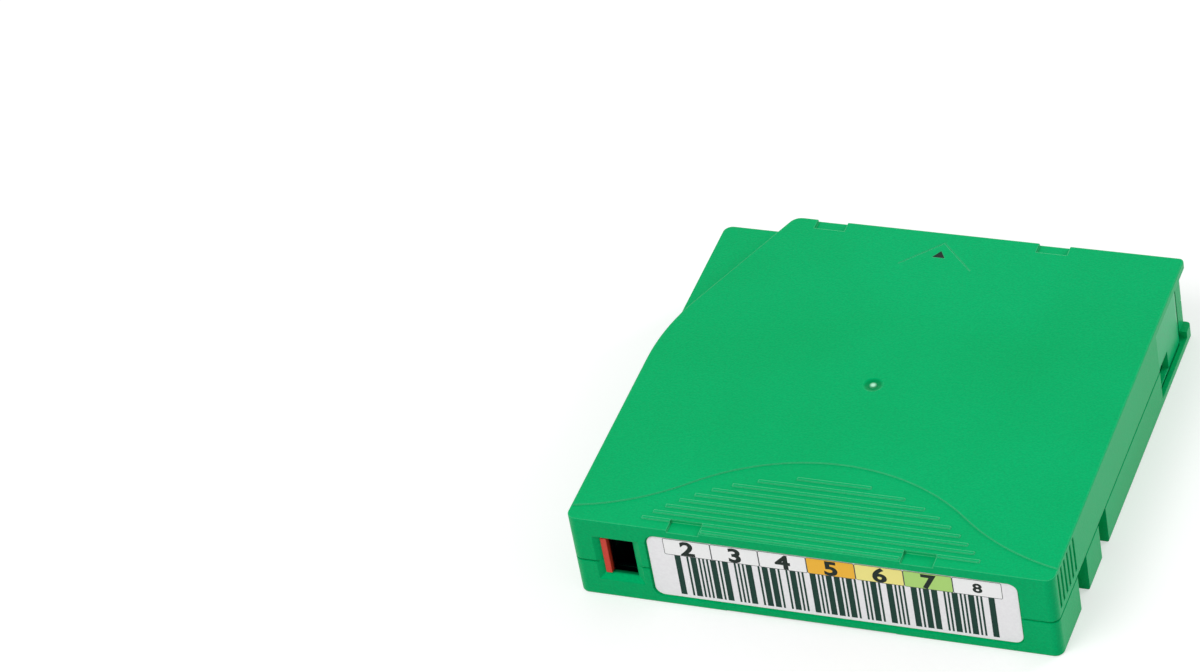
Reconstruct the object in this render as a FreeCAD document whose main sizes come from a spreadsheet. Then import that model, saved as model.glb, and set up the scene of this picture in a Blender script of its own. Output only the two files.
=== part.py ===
"""Half-inch data tape cartridge with a single reel, in millimetres.

Frame: origin at the middle of the case's underside. +Z is up, -Y faces the person who
reads the label, +Y is the end that goes into the drive, +X is the side with the door.
"""
import FreeCAD, Part
import math
import os
import re

import Sketcher

# Every size that can be set by itself, written once. Angles are in degrees.
SIZES = [
    # case: walls and the room round the reel
    ("split_height", 9.7, "height of the parting line"),
    ("floor_thick", 2.0, "lower shell's floor"),
    ("roof_thick", 2.0, "upper shell's top plate"),
    ("wall", 1.8, "side walls"),
    ("side_clear", 1.0, "reel to the left wall"),
    ("end_clear", 0.7, "reel to the label wall and the far wall"),
    ("reel_offset", 1.4, "reel's axis from the middle, away from the door"),
    ("reel_headroom", 1.85, "reel to the roof, room for the drive to lift it"),
    ("corner_radius", 2.0, "upright corners"),
    ("door_corner", 1.0, "upright corner at the far end of the door"),
    ("edge_radius", 0.5, "rounding of the top and bottom edges"),
    ("seam_bevel", 0.15, "bevel of the upper shell at the parting line"),
    ("seam_gap", 0.35, "open groove at the parting line, cut in the lower shell"),
    ("seam_depth", 0.45, "open groove at the parting line, from the outside"),
    # sloping corner and its step
    ("slope_angle", 22.7, "sloping wall from the direction of insertion"),
    ("slope_round", 3.0, "corner between the sloping wall and the far wall"),
    ("step_drop", 5.0, "step below the top"),
    # grip at the label end
    ("grip_length", 25.7, "label face to the top of the grip's curve"),
    ("grip_turn_x", 30.0, "where the grip's curve turns, sideways"),
    ("grip_turn_end", 14.7, "where the grip's curve turns, from the label face"),
    ("grip_side_end", 3.4, "grip's curve at the side walls, from the label face"),
    ("grip_depth", 0.25, "depth of the grip below the top"),
    ("rib_start", 20.0, "first grip rib from the label face"),
    ("rib_pitch", 2.13, "distance between grip ribs"),
    ("rib_count", 9, "long grip ribs"),
    ("rib_width", 0.7, "grip rib"),
    ("rib_apex_gap", 5.0, "from the ribs' ends to the grip's curve, towards the label"),
    ("short_rib_gap", 0.4, "short ribs to the edge recesses beside them"),
    ("short_rib_count", 1, "ribs between the edge recesses"),
    # edge recesses, arrow and gate mark on top
    ("recess_spacing", 50.7, "between the two recesses of one edge"),
    ("recess_width", 7.0, "recess along the edge"),
    ("recess_reach", 3.25, "recess into the top"),
    ("recess_depth", 0.8, "recess below the top"),
    ("arrow_end", 6.2, "arrow's tip from the far face"),
    ("arrow_length", 2.3, "arrow"),
    ("arrow_width", 2.9, "arrow's base"),
    ("arrow_depth", 0.1, "arrow below the top"),
    ("chevron_end", 3.4, "chevron's tip from the far face"),
    ("chevron_half", 8.1, "half width of the chevron"),
    ("chevron_line", 0.3, "chevron's line"),
    ("chevron_depth", 0.07, "chevron's line below the top"),
    ("gate_radius", 2.25, "dimple at the moulding gate"),
    ("gate_depth", 0.4, "dimple below the top"),
    ("gate_slope", 70.0, "dimple's side, from the upright, in degrees"),
    ("gate_nub", 0.75, "radius of the nub left in the dimple"),
    # grooves and notches in the sides
    ("groove_start", 3.1, "first side groove from the label face"),
    ("groove_pitch", 2.18, "distance between side grooves"),
    ("groove_count", 6, "side grooves"),
    ("groove_width", 1.0, "side groove"),
    ("groove_depth", 0.6, "side groove into the wall"),
    ("groove_rise", 1.7, "groove's lower end above the parting line"),
    ("groove_top", 1.0, "groove's upper end below the top"),
    ("notch_depth", 2.4, "side notches into the case"),
    ("notch_back", 1.2, "wall behind the side notches"),
    ("notch_one", 14.2, "first notch from the label face"),
    ("notch_one_length", 6.3, "first notch"),
    ("notch_two", 29.8, "second notch from the label face"),
    ("notch_two_length", 5.3, "second notch"),
    # shallow relief and locating holes in the underside
    ("relief_width", 37.2, "relief under the label end"),
    ("relief_reach", 9.0, "relief from the label face"),
    ("relief_depth", 0.4, "relief above the underside"),
    ("locator_side", 7.7, "locating holes from the side faces"),
    ("locator_end", 15.5, "locating holes from the label face"),
    ("locator_radius", 2.5, "locating holes"),
    ("locator_depth", 4.5, "locating holes"),
    ("boss_wall", 1.3, "wall of the locating holes' bosses"),
    # write-protect window and its tab
    ("window_side", 6.6, "window's left side from the left face"),
    ("window_width", 7.2, "window"),
    ("window_low", 6.2, "window's lower side above the underside"),
    ("window_high", 5.45, "window's upper side below the top"),
    ("frame_left", 1.4, "bevel on the window's left"),
    ("frame_right", 1.7, "bevel on the window's right"),
    ("frame_low", 1.5, "bevel below the window"),
    ("frame_high", 0.6, "bevel above the window"),
    ("frame_depth", 1.0, "depth of the bevels"),
    ("tab_ridge", 1.3, "width of the tab's ridge"),
    ("tab_plate", 1.2, "plate behind the wall"),
    ("tab_gap", 0.15, "clearance round the tab"),
    ("tab_sunk", 0.5, "ridge behind the label face"),
    ("tab_rail", 1.0, "rail behind the tab"),
    ("tab_travel", 4.0, "travel of the tab"),
    # label
    ("label_left", 1.9, "label from the window's frame"),
    ("label_right", 8.0, "label from the right face"),
    ("label_low", 2.3, "label above the underside"),
    ("label_high", 2.8, "label below the top"),
    ("label_round", 2.0, "label's corners"),
    ("label_thick", 0.12, "label"),
    ("label_gap", 0.35, "recess around the label"),
    ("label_recess", 0.5, "recess into the label face"),
    # door and its opening
    ("mouth_length", 23.7, "door's opening from the far face"),
    ("door_post", 1.7, "far wall stops this far inside the side face"),
    ("corner_block", 3.5, "height of the block at the far corner"),
    ("corner_reach", 3.5, "block along the side"),
    ("door_inset", 1.3, "door behind the side face"),
    ("door_thick", 1.5, "door"),
    ("door_lap", 2.3, "door behind the wall when shut"),
    ("door_curl", 4.0, "curled far end of the door"),
    ("door_gap", 0.2, "clearance round the door"),
    ("door_travel", 22.0, "travel of the door"),
    ("pull_length", 9.7, "pull recess of the door"),
    ("pull_height", 6.0, "pull recess of the door"),
    ("pull_depth", 1.6, "pull recess of the door"),
    ("pull_wall", 1.3, "door's wall behind the pull recess"),
    ("rail_depth", 0.6, "grooves in the floor and the roof that the door runs in"),
    # reel
    ("pack_radius", 46.85, "full pack of tape"),
    ("flange_lip", 1.65, "flanges beyond the full pack"),
    ("flange_thick", 1.0, "reel flanges"),
    ("hub_radius", 22.0, "hub that the tape is wound on"),
    ("hub_wall", 2.0, "hub's wall"),
    ("web_thick", 1.6, "hub's floor"),
    ("opening_inset", 1.2, "gear opening's edge inside the hub's outside"),
    ("rim_wall", 1.6, "rim round the gear opening"),
    ("rim_rise", 0.6, "rim above the floor"),
    ("reel_gap", 0.2, "reel above the rim"),
    ("tape_width", 12.65, "half-inch tape"),
    ("tape_gap", 0.1, "tape to each flange"),
    ("drive_teeth", 60, "teeth for the drive's gear"),
    ("drive_reach", 4.0, "length of a drive tooth"),
    ("drive_width", 0.9, "width of a drive tooth"),
    ("drive_height", 1.0, "height of a drive tooth"),
    ("plate_gap", 1.6, "steel ring to the drive teeth"),
    ("plate_bore", 4.5, "steel ring's hole, radius"),
    ("plate_thick", 0.8, "steel ring"),
    ("stud_radius", 1.0, "studs that hold the steel ring"),
    ("clamp_width", 6.0, "clip that holds the tape's inner end"),
    ("clamp_thick", 1.1, "clip that holds the tape's inner end"),
    ("fit_gap", 0.05, "clearance of pressed and riveted pieces"),
    # brake and release pad
    ("brake_teeth", 24, "teeth of the brake"),
    ("brake_gap", 1.2, "brake teeth to the release pad's ring"),
    ("brake_reach", 3.5, "length of a brake tooth"),
    ("brake_tooth", 1.1, "width of a brake tooth"),
    ("brake_height", 1.0, "height of a brake tooth"),
    ("mesh_gap", 0.1, "between tooth tips and the face opposite"),
    ("disc_inset", 1.2, "brake's disc inside the release pad's rim"),
    ("brake_thick", 1.3, "brake's disc"),
    ("socket_wall", 1.85, "wall of the brake's boss"),
    ("socket_height", 5.0, "brake's boss above the disc"),
    ("key_length", 8.0, "cross-shaped post in the upper shell"),
    ("key_width", 1.6, "bars of the cross"),
    ("key_gap", 0.15, "clearance of the cross in the brake"),
    ("brake_travel", 2.0, "lift that frees the reel"),
    ("spring_clear", 1.55, "brake spring to the boss inside it"),
    ("spring_wire", 0.45, "brake spring's wire radius"),
    ("spring_turns", 6, "brake spring"),
    ("coil_bends", 12, "straight lengths in a turn of either spring"),
    ("wire_sides", 5, "sides of either spring's wire"),
    ("pad_side", 0.8, "release pad to the hub's wall"),
    ("pad_width", 5.0, "release pad's ring"),
    ("pad_thick", 0.9, "release pad's ring"),
    ("leg_inset", 2.6, "release pad's legs inside its rim"),
    ("leg_radius", 1.5, "release pad's legs"),
    ("leg_gap", 0.3, "legs in the hub's holes"),
    # leader pin
    ("pin_room", 3.1, "leader pin to the door, room for the drive's grabber"),
    ("pin_setback", 9.0, "leader pin from the far face"),
    ("pin_radius", 1.4, "leader pin's shaft"),
    ("pin_head", 2.8, "leader pin's heads, radius"),
    ("pin_head_thick", 1.0, "leader pin's heads"),
    ("pin_gap", 0.1, "leader pin's ends to the shells"),
    ("pocket_gap", 0.35, "pin's heads in their pockets"),
    ("pocket_wall", 1.3, "wall of the pin's pockets"),
    ("pocket_height", 1.3, "pin's pockets above the floor and below the roof"),
    ("clip_thick", 0.7, "clip on the leader pin"),
    ("leader_thick", 0.15, "leader tape"),
    ("leader_gap", 0.2, "leader tape to the pack and the clip"),
    ("leaf_length", 7.0, "leaf springs of the leader pin"),
    ("leaf_shift", 2.0, "leaf springs' middle from the pin, away from the screw"),
    ("leaf_thick", 0.3, "leaf springs of the leader pin"),
    ("leaf_height", 1.2, "leaf springs of the leader pin"),
    # door spring
    ("coil_radius", 1.0, "door spring, to the wire's middle"),
    ("coil_wire", 0.2, "door spring's wire radius"),
    ("coil_turns", 14, "door spring"),
    ("coil_room", 11.6, "door spring with the door open"),
    ("coil_rise", 4.3, "door spring above the parting line"),
    ("hook_length", 2.0, "spring seat of the door"),
    ("stop_thick", 1.6, "spring seat of the case"),
    # screws
    ("screw_shank", 1.1, "screws' shank radius"),
    ("screw_head", 2.2, "screws' head radius"),
    ("screw_head_thick", 1.6, "screws' heads"),
    ("screw_sunk", 0.6, "screws' heads above the underside"),
    ("screw_length", 12.0, "screws' shanks"),
    ("screw_boss", 3.0, "screw bosses' radius"),
    ("screw_side", 6.2, "screws from the side faces"),
    ("screw_end", 5.7, "screws from the end faces"),
    ("tab_screw_gap", 1.4, "screw boss beside the window to the tab's rail"),
    ("pin_screw_off", 6.4, "screw beside the leader pin, from the pin"),
    ("pin_screw_end", 3.4, "screw beside the leader pin, from the far face"),
    # memory chip
    ("chip_side", 16.2, "memory chip's middle from the right face"),
    ("chip_end", 5.4, "memory chip's middle from the label face"),
    ("chip_width", 10.0, "memory chip"),
    ("chip_length", 8.4, "memory chip"),
    ("chip_thick", 0.8, "memory chip"),
    ("chip_lean", 45.0, "memory chip from the floor"),
    ("chip_rib", 0.9, "ribs that hold the memory chip"),
]

# Sizes that follow from those above. Distances in y are from the reel's line.
DERIVED = {
    "reel_x": "(0 - reel_offset)",
    "reel_y": "0",
    "flange_radius": "(pack_radius + flange_lip)",
    "case_width": "(2 * (flange_radius + reel_offset + wall + side_clear))",
    "case_depth": "(2 * (flange_radius + wall + end_clear))",
    "tape_low": "(floor_thick + rim_rise + reel_gap + flange_thick + tape_gap)",
    "reel_height": "(tape_low + tape_width + tape_gap + flange_thick)",
    "case_height": "(reel_height + reel_headroom + roof_thick)",
    "grip_apex": "(case_depth / 2 - grip_length)",
    "grip_turn_y": "(case_depth / 2 - grip_turn_end)",
    "grip_side": "(case_depth / 2 - grip_side_end)",
    "rib_first": "(case_depth / 2 - rib_start)",
    "short_rib_half": "((recess_spacing - recess_width) / 2 - short_rib_gap)",
    "arrow_tip": "(case_depth / 2 - arrow_end)",
    "chevron_tip": "(case_depth / 2 - chevron_end)",
    "groove_first": "(case_depth / 2 - groove_start)",
    "groove_low": "(split_height + groove_rise)",
    "groove_high": "(case_height - groove_top)",
    "notch_one_near": "(case_depth / 2 - notch_one)",
    "notch_one_far": "(notch_one_near - notch_one_length)",
    "notch_two_near": "(case_depth / 2 - notch_two)",
    "notch_two_far": "(notch_two_near - notch_two_length)",
    "locator_x": "(case_width / 2 - locator_side)",
    "locator_y": "(case_depth / 2 - locator_end)",
    "window_left": "(case_width / 2 - window_side)",
    "window_height": "(case_height - window_low - window_high)",
    "label_width": "(case_width / 2 - label_right + window_left - window_width - frame_right - label_left)",
    "label_centre": "(case_width / 2 - label_right - label_width / 2)",
    "label_height": "(case_height - label_low - label_high)",
    "door_near": "(case_depth / 2 - mouth_length)",
    "opening_radius": "(hub_radius - opening_inset)",
    "pad_outer": "(hub_radius - hub_wall - pad_side)",
    "pad_inner": "(pad_outer - pad_width)",
    "drive_radius": "(pad_outer - leg_inset)",
    "plate_radius": "(drive_radius - drive_reach / 2 - plate_gap)",
    "stud_circle": "((plate_bore + plate_radius) / 2)",
    "brake_radius": "(pad_outer - disc_inset)",
    "brake_inner": "(pad_inner - brake_gap - brake_reach)",
    "socket_radius": "(key_length / 2 + key_gap + socket_wall)",
    "spring_radius": "(socket_radius + spring_clear + spring_wire)",
    "pin_x": "(case_width / 2 - door_inset - door_thick - pin_room - pin_head)",
    "pin_y": "(case_depth / 2 - pin_setback)",
    "coil_length": "(door_travel + coil_room)",
    "coil_height": "(split_height + coil_rise)",
    "coil_x": "(case_width / 2 - wall - door_gap - coil_radius - coil_wire)",
    "near_screw_x": "(case_width / 2 - screw_side)",
    "near_screw_y": "(case_depth / 2 - screw_end)",
    "tab_screw_y": "(case_depth / 2 - wall - 2 * tab_gap - tab_plate - tab_rail"
                   " - tab_screw_gap - screw_boss)",
    "pin_screw_x": "(pin_x - pin_screw_off)",
    "pin_screw_y": "(case_depth / 2 - pin_screw_end)",
    "chip_x": "(case_width / 2 - chip_side)",
    "chip_y": "(case_depth / 2 - chip_end)",
}

doc = FreeCAD.newDocument("data_tape_cartridge")
sheet = doc.addObject("Spreadsheet::Sheet", "sizes")
for row, (alias, size, meaning) in enumerate(SIZES, start=1):
    sheet.set(f"A{row}", meaning)
    sheet.set(f"B{row}", str(size))
    sheet.setAlias(f"B{row}", alias)
doc.recompute()

NAMES = {alias for alias, size, meaning in SIZES}


def bound(formula):
    """The formula with each size's name pointing at its cell."""
    def cell(match):
        name = match[0]
        return bound(DERIVED[name]) if name in DERIVED else f"sizes.{name}" if name in NAMES else name
    return re.sub(r"[a-z][a-z_0-9]*", cell, str(formula))


def value(formula):
    """The number that a formula gives now."""
    return float(sheet.evalExpression(bound(formula)))


# Heights and faces that several pieces share.
HALF_W = "(case_width / 2)"
HALF_D = "(case_depth / 2)"
ROOF = "(case_height - roof_thick)"
STEP = "(case_height - step_drop)"
STEP_ROOF = f"({STEP} - wall)"
INNER_W = f"({HALF_W} - wall)"
INNER_D = f"({HALF_D} - wall)"
DOOR_FACE = f"({HALF_W} - door_inset)"
DOOR_BACK = f"({DOOR_FACE} - door_thick)"
DOOR_END = f"({INNER_D} - door_gap)"
DOOR_TAIL = "(door_near - door_lap)"
DOOR_SLOT = f"({DOOR_FACE} + door_gap)"
DOOR_OPEN = f"({DOOR_TAIL} - hook_length - door_travel - door_gap)"
POST_FACE = f"({HALF_W} - door_post)"
REEL_LOW = "(floor_thick + rim_rise + reel_gap)"
FLANGE_TOP = f"({REEL_LOW} + flange_thick)"
TAPE_LOW = "tape_low"
TAPE_HIGH = f"({TAPE_LOW} + tape_width)"
UPPER_LOW = f"({TAPE_HIGH} + tape_gap)"
WEB_LOW = FLANGE_TOP
WEB_TOP = f"({WEB_LOW} + web_thick)"
DISC_LOW = f"({WEB_TOP} + brake_height + mesh_gap)"
DISC_TOP = f"({DISC_LOW} + brake_thick)"
SOCKET_TOP = f"({DISC_TOP} + socket_height)"
POST_LOW = f"({DISC_TOP} + brake_travel + key_gap)"
PIN_LOW = "(floor_thick + pin_gap)"
PIN_HIGH = f"({ROOF} - pin_gap)"
RECESS_FACE = f"(-{HALF_D} + label_recess)"
WINDOW_LEFT = "(-window_left)"
WINDOW_RIGHT = "(-window_left + window_width)"
WINDOW_TOP = "(window_low + window_height)"
SCREWS = [
    ("near_screw_x", "-near_screw_y", ROOF),
    ("-near_screw_x", "-tab_screw_y", ROOF),
    ("-near_screw_x", "near_screw_y", STEP_ROOF),
    ("pin_screw_x", "pin_screw_y", ROOF),
]
COIL_START = f"({DOOR_TAIL} - hook_length - coil_wire - fit_gap)"
COIL_STOP = f"({COIL_START} - coil_length - coil_wire - fit_gap)"
SCREW_TIP = "(screw_sunk + screw_head_thick + screw_length)"


def new_body(label):
    body = doc.addObject("PartDesign::Body", label)
    body.Label = label
    return body


def new_sketch(body, plane, offset):
    """An empty sketch on one of the body's own planes, moved along the plane's normal."""
    sketch = body.newObject("Sketcher::SketchObject", "sketch")
    support = next(item for item in body.Origin.OriginFeatures if item.Role == plane)
    sketch.AttachmentSupport = [(support, "")]
    sketch.MapMode = "FlatFace"
    sketch.setExpression("AttachmentOffset.Base.z", bound(offset))
    return sketch


def fix(sketch, kind, geometry, end, formula):
    """Ties a point's distance from the sketch's origin to a formula."""
    index = sketch.addConstraint(Sketcher.Constraint(kind, -1, 1, geometry, end, value(formula)))
    sketch.setExpression(f"Constraints[{index}]", bound(formula))


def set_radius(sketch, geometry, formula):
    index = sketch.addConstraint(Sketcher.Constraint("Radius", geometry, value(formula)))
    sketch.setExpression(f"Constraints[{index}]", bound(formula))


def arc_between(start, end, radius, left):
    """An arc under half a turn with its centre to the left or right of the way from start to end."""
    chord = end - start
    reach = math.sqrt(max(radius * radius - chord.Length ** 2 / 4, 0.0))
    side = FreeCAD.Vector(-chord.y, chord.x, 0).normalize()
    centre = (start + end) / 2 + side * (reach if left else -reach)
    first, last = (start, end) if left else (end, start)
    angles = [math.atan2(point.y - centre.y, point.x - centre.x) for point in (first, last)]
    circle = Part.Circle(centre, FreeCAD.Vector(0, 0, 1), radius)
    return Part.ArcOfCircle(circle, angles[0], angles[1] + (2 * math.pi if angles[1] < angles[0] else 0))


def add_outline(sketch, points, arcs=None):
    """A closed outline. points are pairs of formulas; arcs gives the sides that bend.

    arcs maps a side's number to its radius and whether its centre lies to the left."""
    arcs = arcs or {}
    places = [FreeCAD.Vector(value(x), value(y), 0) for x, y in points]
    count = len(places)
    sides = []
    for number in range(count):
        start, end = places[number], places[(number + 1) % count]
        if number in arcs:
            radius, left = arcs[number]
            geometry = sketch.addGeometry(arc_between(start, end, value(radius), left), False)
            sides.append((geometry, 1 if left else 2, 2 if left else 1))
        else:
            geometry = sketch.addGeometry(Part.LineSegment(start, end), False)
            sides.append((geometry, 1, 2))
    for number, (geometry, begin, finish) in enumerate(sides):
        after, after_begin, after_finish = sides[(number + 1) % count]
        sketch.addConstraint(Sketcher.Constraint("Coincident", geometry, finish, after, after_begin))
    for number, (geometry, begin, finish) in enumerate(sides):
        fix(sketch, "DistanceX", geometry, begin, points[number][0])
        fix(sketch, "DistanceY", geometry, begin, points[number][1])
        if number in arcs:
            set_radius(sketch, geometry, arcs[number][0])


def add_rectangle(sketch, x, y):
    add_outline(sketch, [(x[0], y[0]), (x[1], y[0]), (x[1], y[1]), (x[0], y[1])])


def add_rounded(sketch, x, y, radius, far_right=None):
    """A rectangle with round corners, whose far right corner may have a radius of its own."""
    (left, right), (low, high) = x, y
    far_right = far_right or radius
    points = [
        (f"{left} + {radius}", low), (f"{right} - {radius}", low),
        (right, f"{low} + {radius}"), (right, f"{high} - {far_right}"),
        (f"{right} - {far_right}", high), (f"{left} + {radius}", high),
        (left, f"{high} - {radius}"), (left, f"{low} + {radius}"),
    ]
    arcs = {side: (radius, True) for side in (1, 5, 7)}
    arcs[3] = (far_right, True)
    add_outline(sketch, points, arcs)


def add_circle(sketch, x, y, radius):
    centre = FreeCAD.Vector(value(x), value(y), 0)
    circle = Part.Circle(centre, FreeCAD.Vector(0, 0, 1), value(radius))
    geometry = sketch.addGeometry(circle, False)
    fix(sketch, "DistanceX", geometry, 3, x)
    fix(sketch, "DistanceY", geometry, 3, y)
    set_radius(sketch, geometry, radius)


def grow(body, sketch, length, backwards=False):
    """Adds the sketch's outline, extruded along its normal."""
    pad = body.newObject("PartDesign::Pad", "pad")
    pad.Profile = sketch
    pad.setExpression("Length", bound(length))
    pad.Reversed = backwards
    return pad


def cut(body, sketch, length, backwards=False):
    """Takes the sketch's outline away, extruded against its normal."""
    pocket = body.newObject("PartDesign::Pocket", "pocket")
    pocket.Profile = sketch
    pocket.setExpression("Length", bound(length))
    pocket.Reversed = backwards
    return pocket


def upright(body, draw, low, high, take=False):
    """Adds or takes away what draw puts in a flat sketch, between two heights."""
    sketch = new_sketch(body, "XY_Plane", high if take else low)
    draw(sketch)
    length = f"({high}) - ({low})"
    return cut(body, sketch, length) if take else grow(body, sketch, length)


def boxes(body, areas, low, high, take=False):
    """Upright blocks over several (x, y) areas at once."""
    def draw(sketch):
        for x, y in areas:
            add_rectangle(sketch, x, y)
    return upright(body, draw, low, high, take)


def discs(body, circles, low, high, take=False):
    """Upright round bars over several (x, y, radius) circles at once."""
    def draw(sketch):
        for x, y, radius in circles:
            add_circle(sketch, x, y, radius)
    return upright(body, draw, low, high, take)


def spin(body, points, arcs=None):
    """Turns a profile of (radius, height) points about the body's own Z axis."""
    sketch = new_sketch(body, "XZ_Plane", "0")
    add_outline(sketch, points, arcs)
    revolution = body.newObject("PartDesign::Revolution", "revolution")
    revolution.Profile = sketch
    revolution.ReferenceAxis = (sketch, ["V_Axis"])
    revolution.Angle = 360
    return revolution


def repeat_round(body, feature, count):
    """Repeats a feature evenly round the body's own Z axis."""
    pattern = body.newObject("PartDesign::PolarPattern", "pattern")
    pattern.Originals = [feature]
    pattern.Axis = (next(item for item in body.Origin.OriginFeatures if item.Role == "Z_Axis"), [""])
    pattern.Angle = 360
    pattern.setExpression("Occurrences", bound(count))
    body.Tip = pattern
    return pattern


def dress(body, kind, size, chosen):
    """A fillet or chamfer on the edges of the tip that chosen picks."""
    doc.recompute()
    base = body.Tip
    names = [f"Edge{n}" for n, edge in enumerate(base.Shape.Edges, start=1) if chosen(edge)]
    feature = body.newObject(f"PartDesign::{kind}", kind.lower())
    feature.Base = (base, names)
    feature.setExpression("Radius" if kind == "Fillet" else "Size", bound(size))
    return feature


def flat_at(edge, height):
    """True for an edge that lies wholly at one height."""
    box = edge.BoundBox
    return abs(box.ZMin - height) < 1e-4 and abs(box.ZMax - height) < 1e-4


def place(body, x, y, z):
    for axis, formula in zip("xyz", (x, y, z)):
        body.setExpression(f"Placement.Base.{axis}", bound(formula))


# ---- case outlines ---------------------------------------------------------------------------

def add_case_outline(sketch):
    add_rounded(sketch, (f"-{HALF_W}", HALF_W), (f"-{HALF_D}", HALF_D), "corner_radius", "door_corner")


def add_seam_ring(sketch):
    """The band round the case that the parting line's groove takes away."""
    add_rectangle(sketch, (f"-{HALF_W} - wall", f"{HALF_W} + wall"),
                  (f"-{HALF_D} - wall", f"{HALF_D} + wall"))
    add_rounded(sketch, (f"(-{HALF_W} + seam_depth)", f"({HALF_W} - seam_depth)"),
                (f"(-{HALF_D} + seam_depth)", f"({HALF_D} - seam_depth)"), "corner_radius", "door_corner")


def add_inner_outline(sketch):
    add_rectangle(sketch, (f"-{INNER_W}", INNER_W), (f"-{INNER_D}", INNER_D))


def add_top_outline(sketch, half_w, half_d):
    """The top's outline: an arc about the reel leads from the left side into the sloping wall."""
    radius = "corner_radius"
    sweep = f"({half_w} + reel_x)"
    touch_x = f"(reel_x - {sweep} * cos(slope_angle))"
    touch_y = f"(reel_y + {sweep} * sin(slope_angle))"
    corner_x = f"({touch_x} + ({half_d} - {touch_y}) * tan(slope_angle))"
    lead = "(slope_round * tan(45 - slope_angle / 2))"
    points = [
        (f"-{half_w} + {radius}", f"-{half_d}"), (f"{half_w} - {radius}", f"-{half_d}"),
        (half_w, f"-{half_d} + {radius}"), (half_w, f"{half_d} - door_corner"),
        (f"{half_w} - door_corner", half_d), (f"{corner_x} + {lead}", half_d),
        (f"{corner_x} - {lead} * sin(slope_angle)", f"{half_d} - {lead} * cos(slope_angle)"),
        (touch_x, touch_y), (f"-{half_w}", "reel_y"), (f"-{half_w}", f"-{half_d} + {radius}"),
    ]
    arcs = {1: (radius, True), 3: ("door_corner", True), 5: ("slope_round", True),
            7: (sweep, True), 9: (radius, True)}
    add_outline(sketch, points, arcs)


def cut_label_recess(body):
    """The label's recess, which both shells share."""
    sketch = new_sketch(body, "XZ_Plane", HALF_D)
    low = "(label_low - label_gap)"
    sides = ("(label_centre - label_width / 2 - label_gap)", "(label_centre + label_width / 2 + label_gap)")
    add_rounded(sketch, sides, (low, f"({low} + label_height + 2 * label_gap)"), "(label_round + label_gap)")
    cut(body, sketch, "label_recess")


def cut_window(body):
    """The write-protect window: four bevels that lead to a square hole."""
    mouth = new_sketch(body, "XZ_Plane", HALF_D)
    add_rectangle(mouth, (f"{WINDOW_LEFT} - frame_left", f"{WINDOW_RIGHT} + frame_right"),
                  ("window_low - frame_low", f"{WINDOW_TOP} + frame_high"))
    throat = new_sketch(body, "XZ_Plane", f"{HALF_D} - frame_depth")
    add_rectangle(throat, (WINDOW_LEFT, WINDOW_RIGHT), ("window_low", WINDOW_TOP))
    bevels = body.newObject("PartDesign::SubtractiveLoft", "bevels")
    bevels.Profile = mouth
    bevels.Sections = [throat]
    bevels.Ruled = True
    hole = new_sketch(body, "XZ_Plane", f"{HALF_D} - frame_depth / 2")
    add_rectangle(hole, (WINDOW_LEFT, WINDOW_RIGHT), ("window_low", WINDOW_TOP))
    cut(body, hole, "wall")


def cut_door_opening(body, low, high, rail_low, rail_high):
    """Opens the right wall for the door, thins it where the open door lies and cuts a rail groove."""
    boxes(body, [((f"{INNER_W} - wall", f"{HALF_W} + wall"), ("door_near", f"{HALF_D} - corner_reach"))],
          low, high, take=True)
    boxes(body, [((f"{INNER_W} - wall", DOOR_SLOT), (DOOR_OPEN, "door_near"))], low, high, take=True)
    boxes(body, [((f"{DOOR_BACK} - door_gap", DOOR_SLOT), (DOOR_OPEN, f"{DOOR_END} - door_curl + door_gap"))],
          rail_low, rail_high, take=True)


def add_notch_backs(body, low, high):
    """Walls behind the side notches, on the inside of both side walls."""
    areas = []
    for near, far in (("notch_one_near", "notch_one_far"), ("notch_two_near", "notch_two_far")):
        reach = (f"-{near} - notch_back", f"-{far} + notch_back")
        inside = f"({HALF_W} - notch_depth - notch_back)"
        areas.append(((inside, f"({INNER_W} + wall / 2)"), reach))
        areas.append(((f"-({INNER_W} + wall / 2)", f"-{inside}"), reach))
    boxes(body, areas, low, high)


def add_pin_pocket(body, low, high):
    """A horseshoe round the leader pin's head, open towards the door."""
    discs(body, [("pin_x", "pin_y", "(pin_head + pocket_gap + pocket_wall)")], low, high)
    discs(body, [("pin_x", "pin_y", "(pin_head + pocket_gap)")], low, high, take=True)
    across = ("pin_y - pin_head - pocket_gap", "pin_y + pin_head + pocket_gap")
    boxes(body, [(("pin_x", f"{HALF_W} + wall"), across)],
          low, high, take=True)


# ---- lower shell -----------------------------------------------------------------------------

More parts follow.
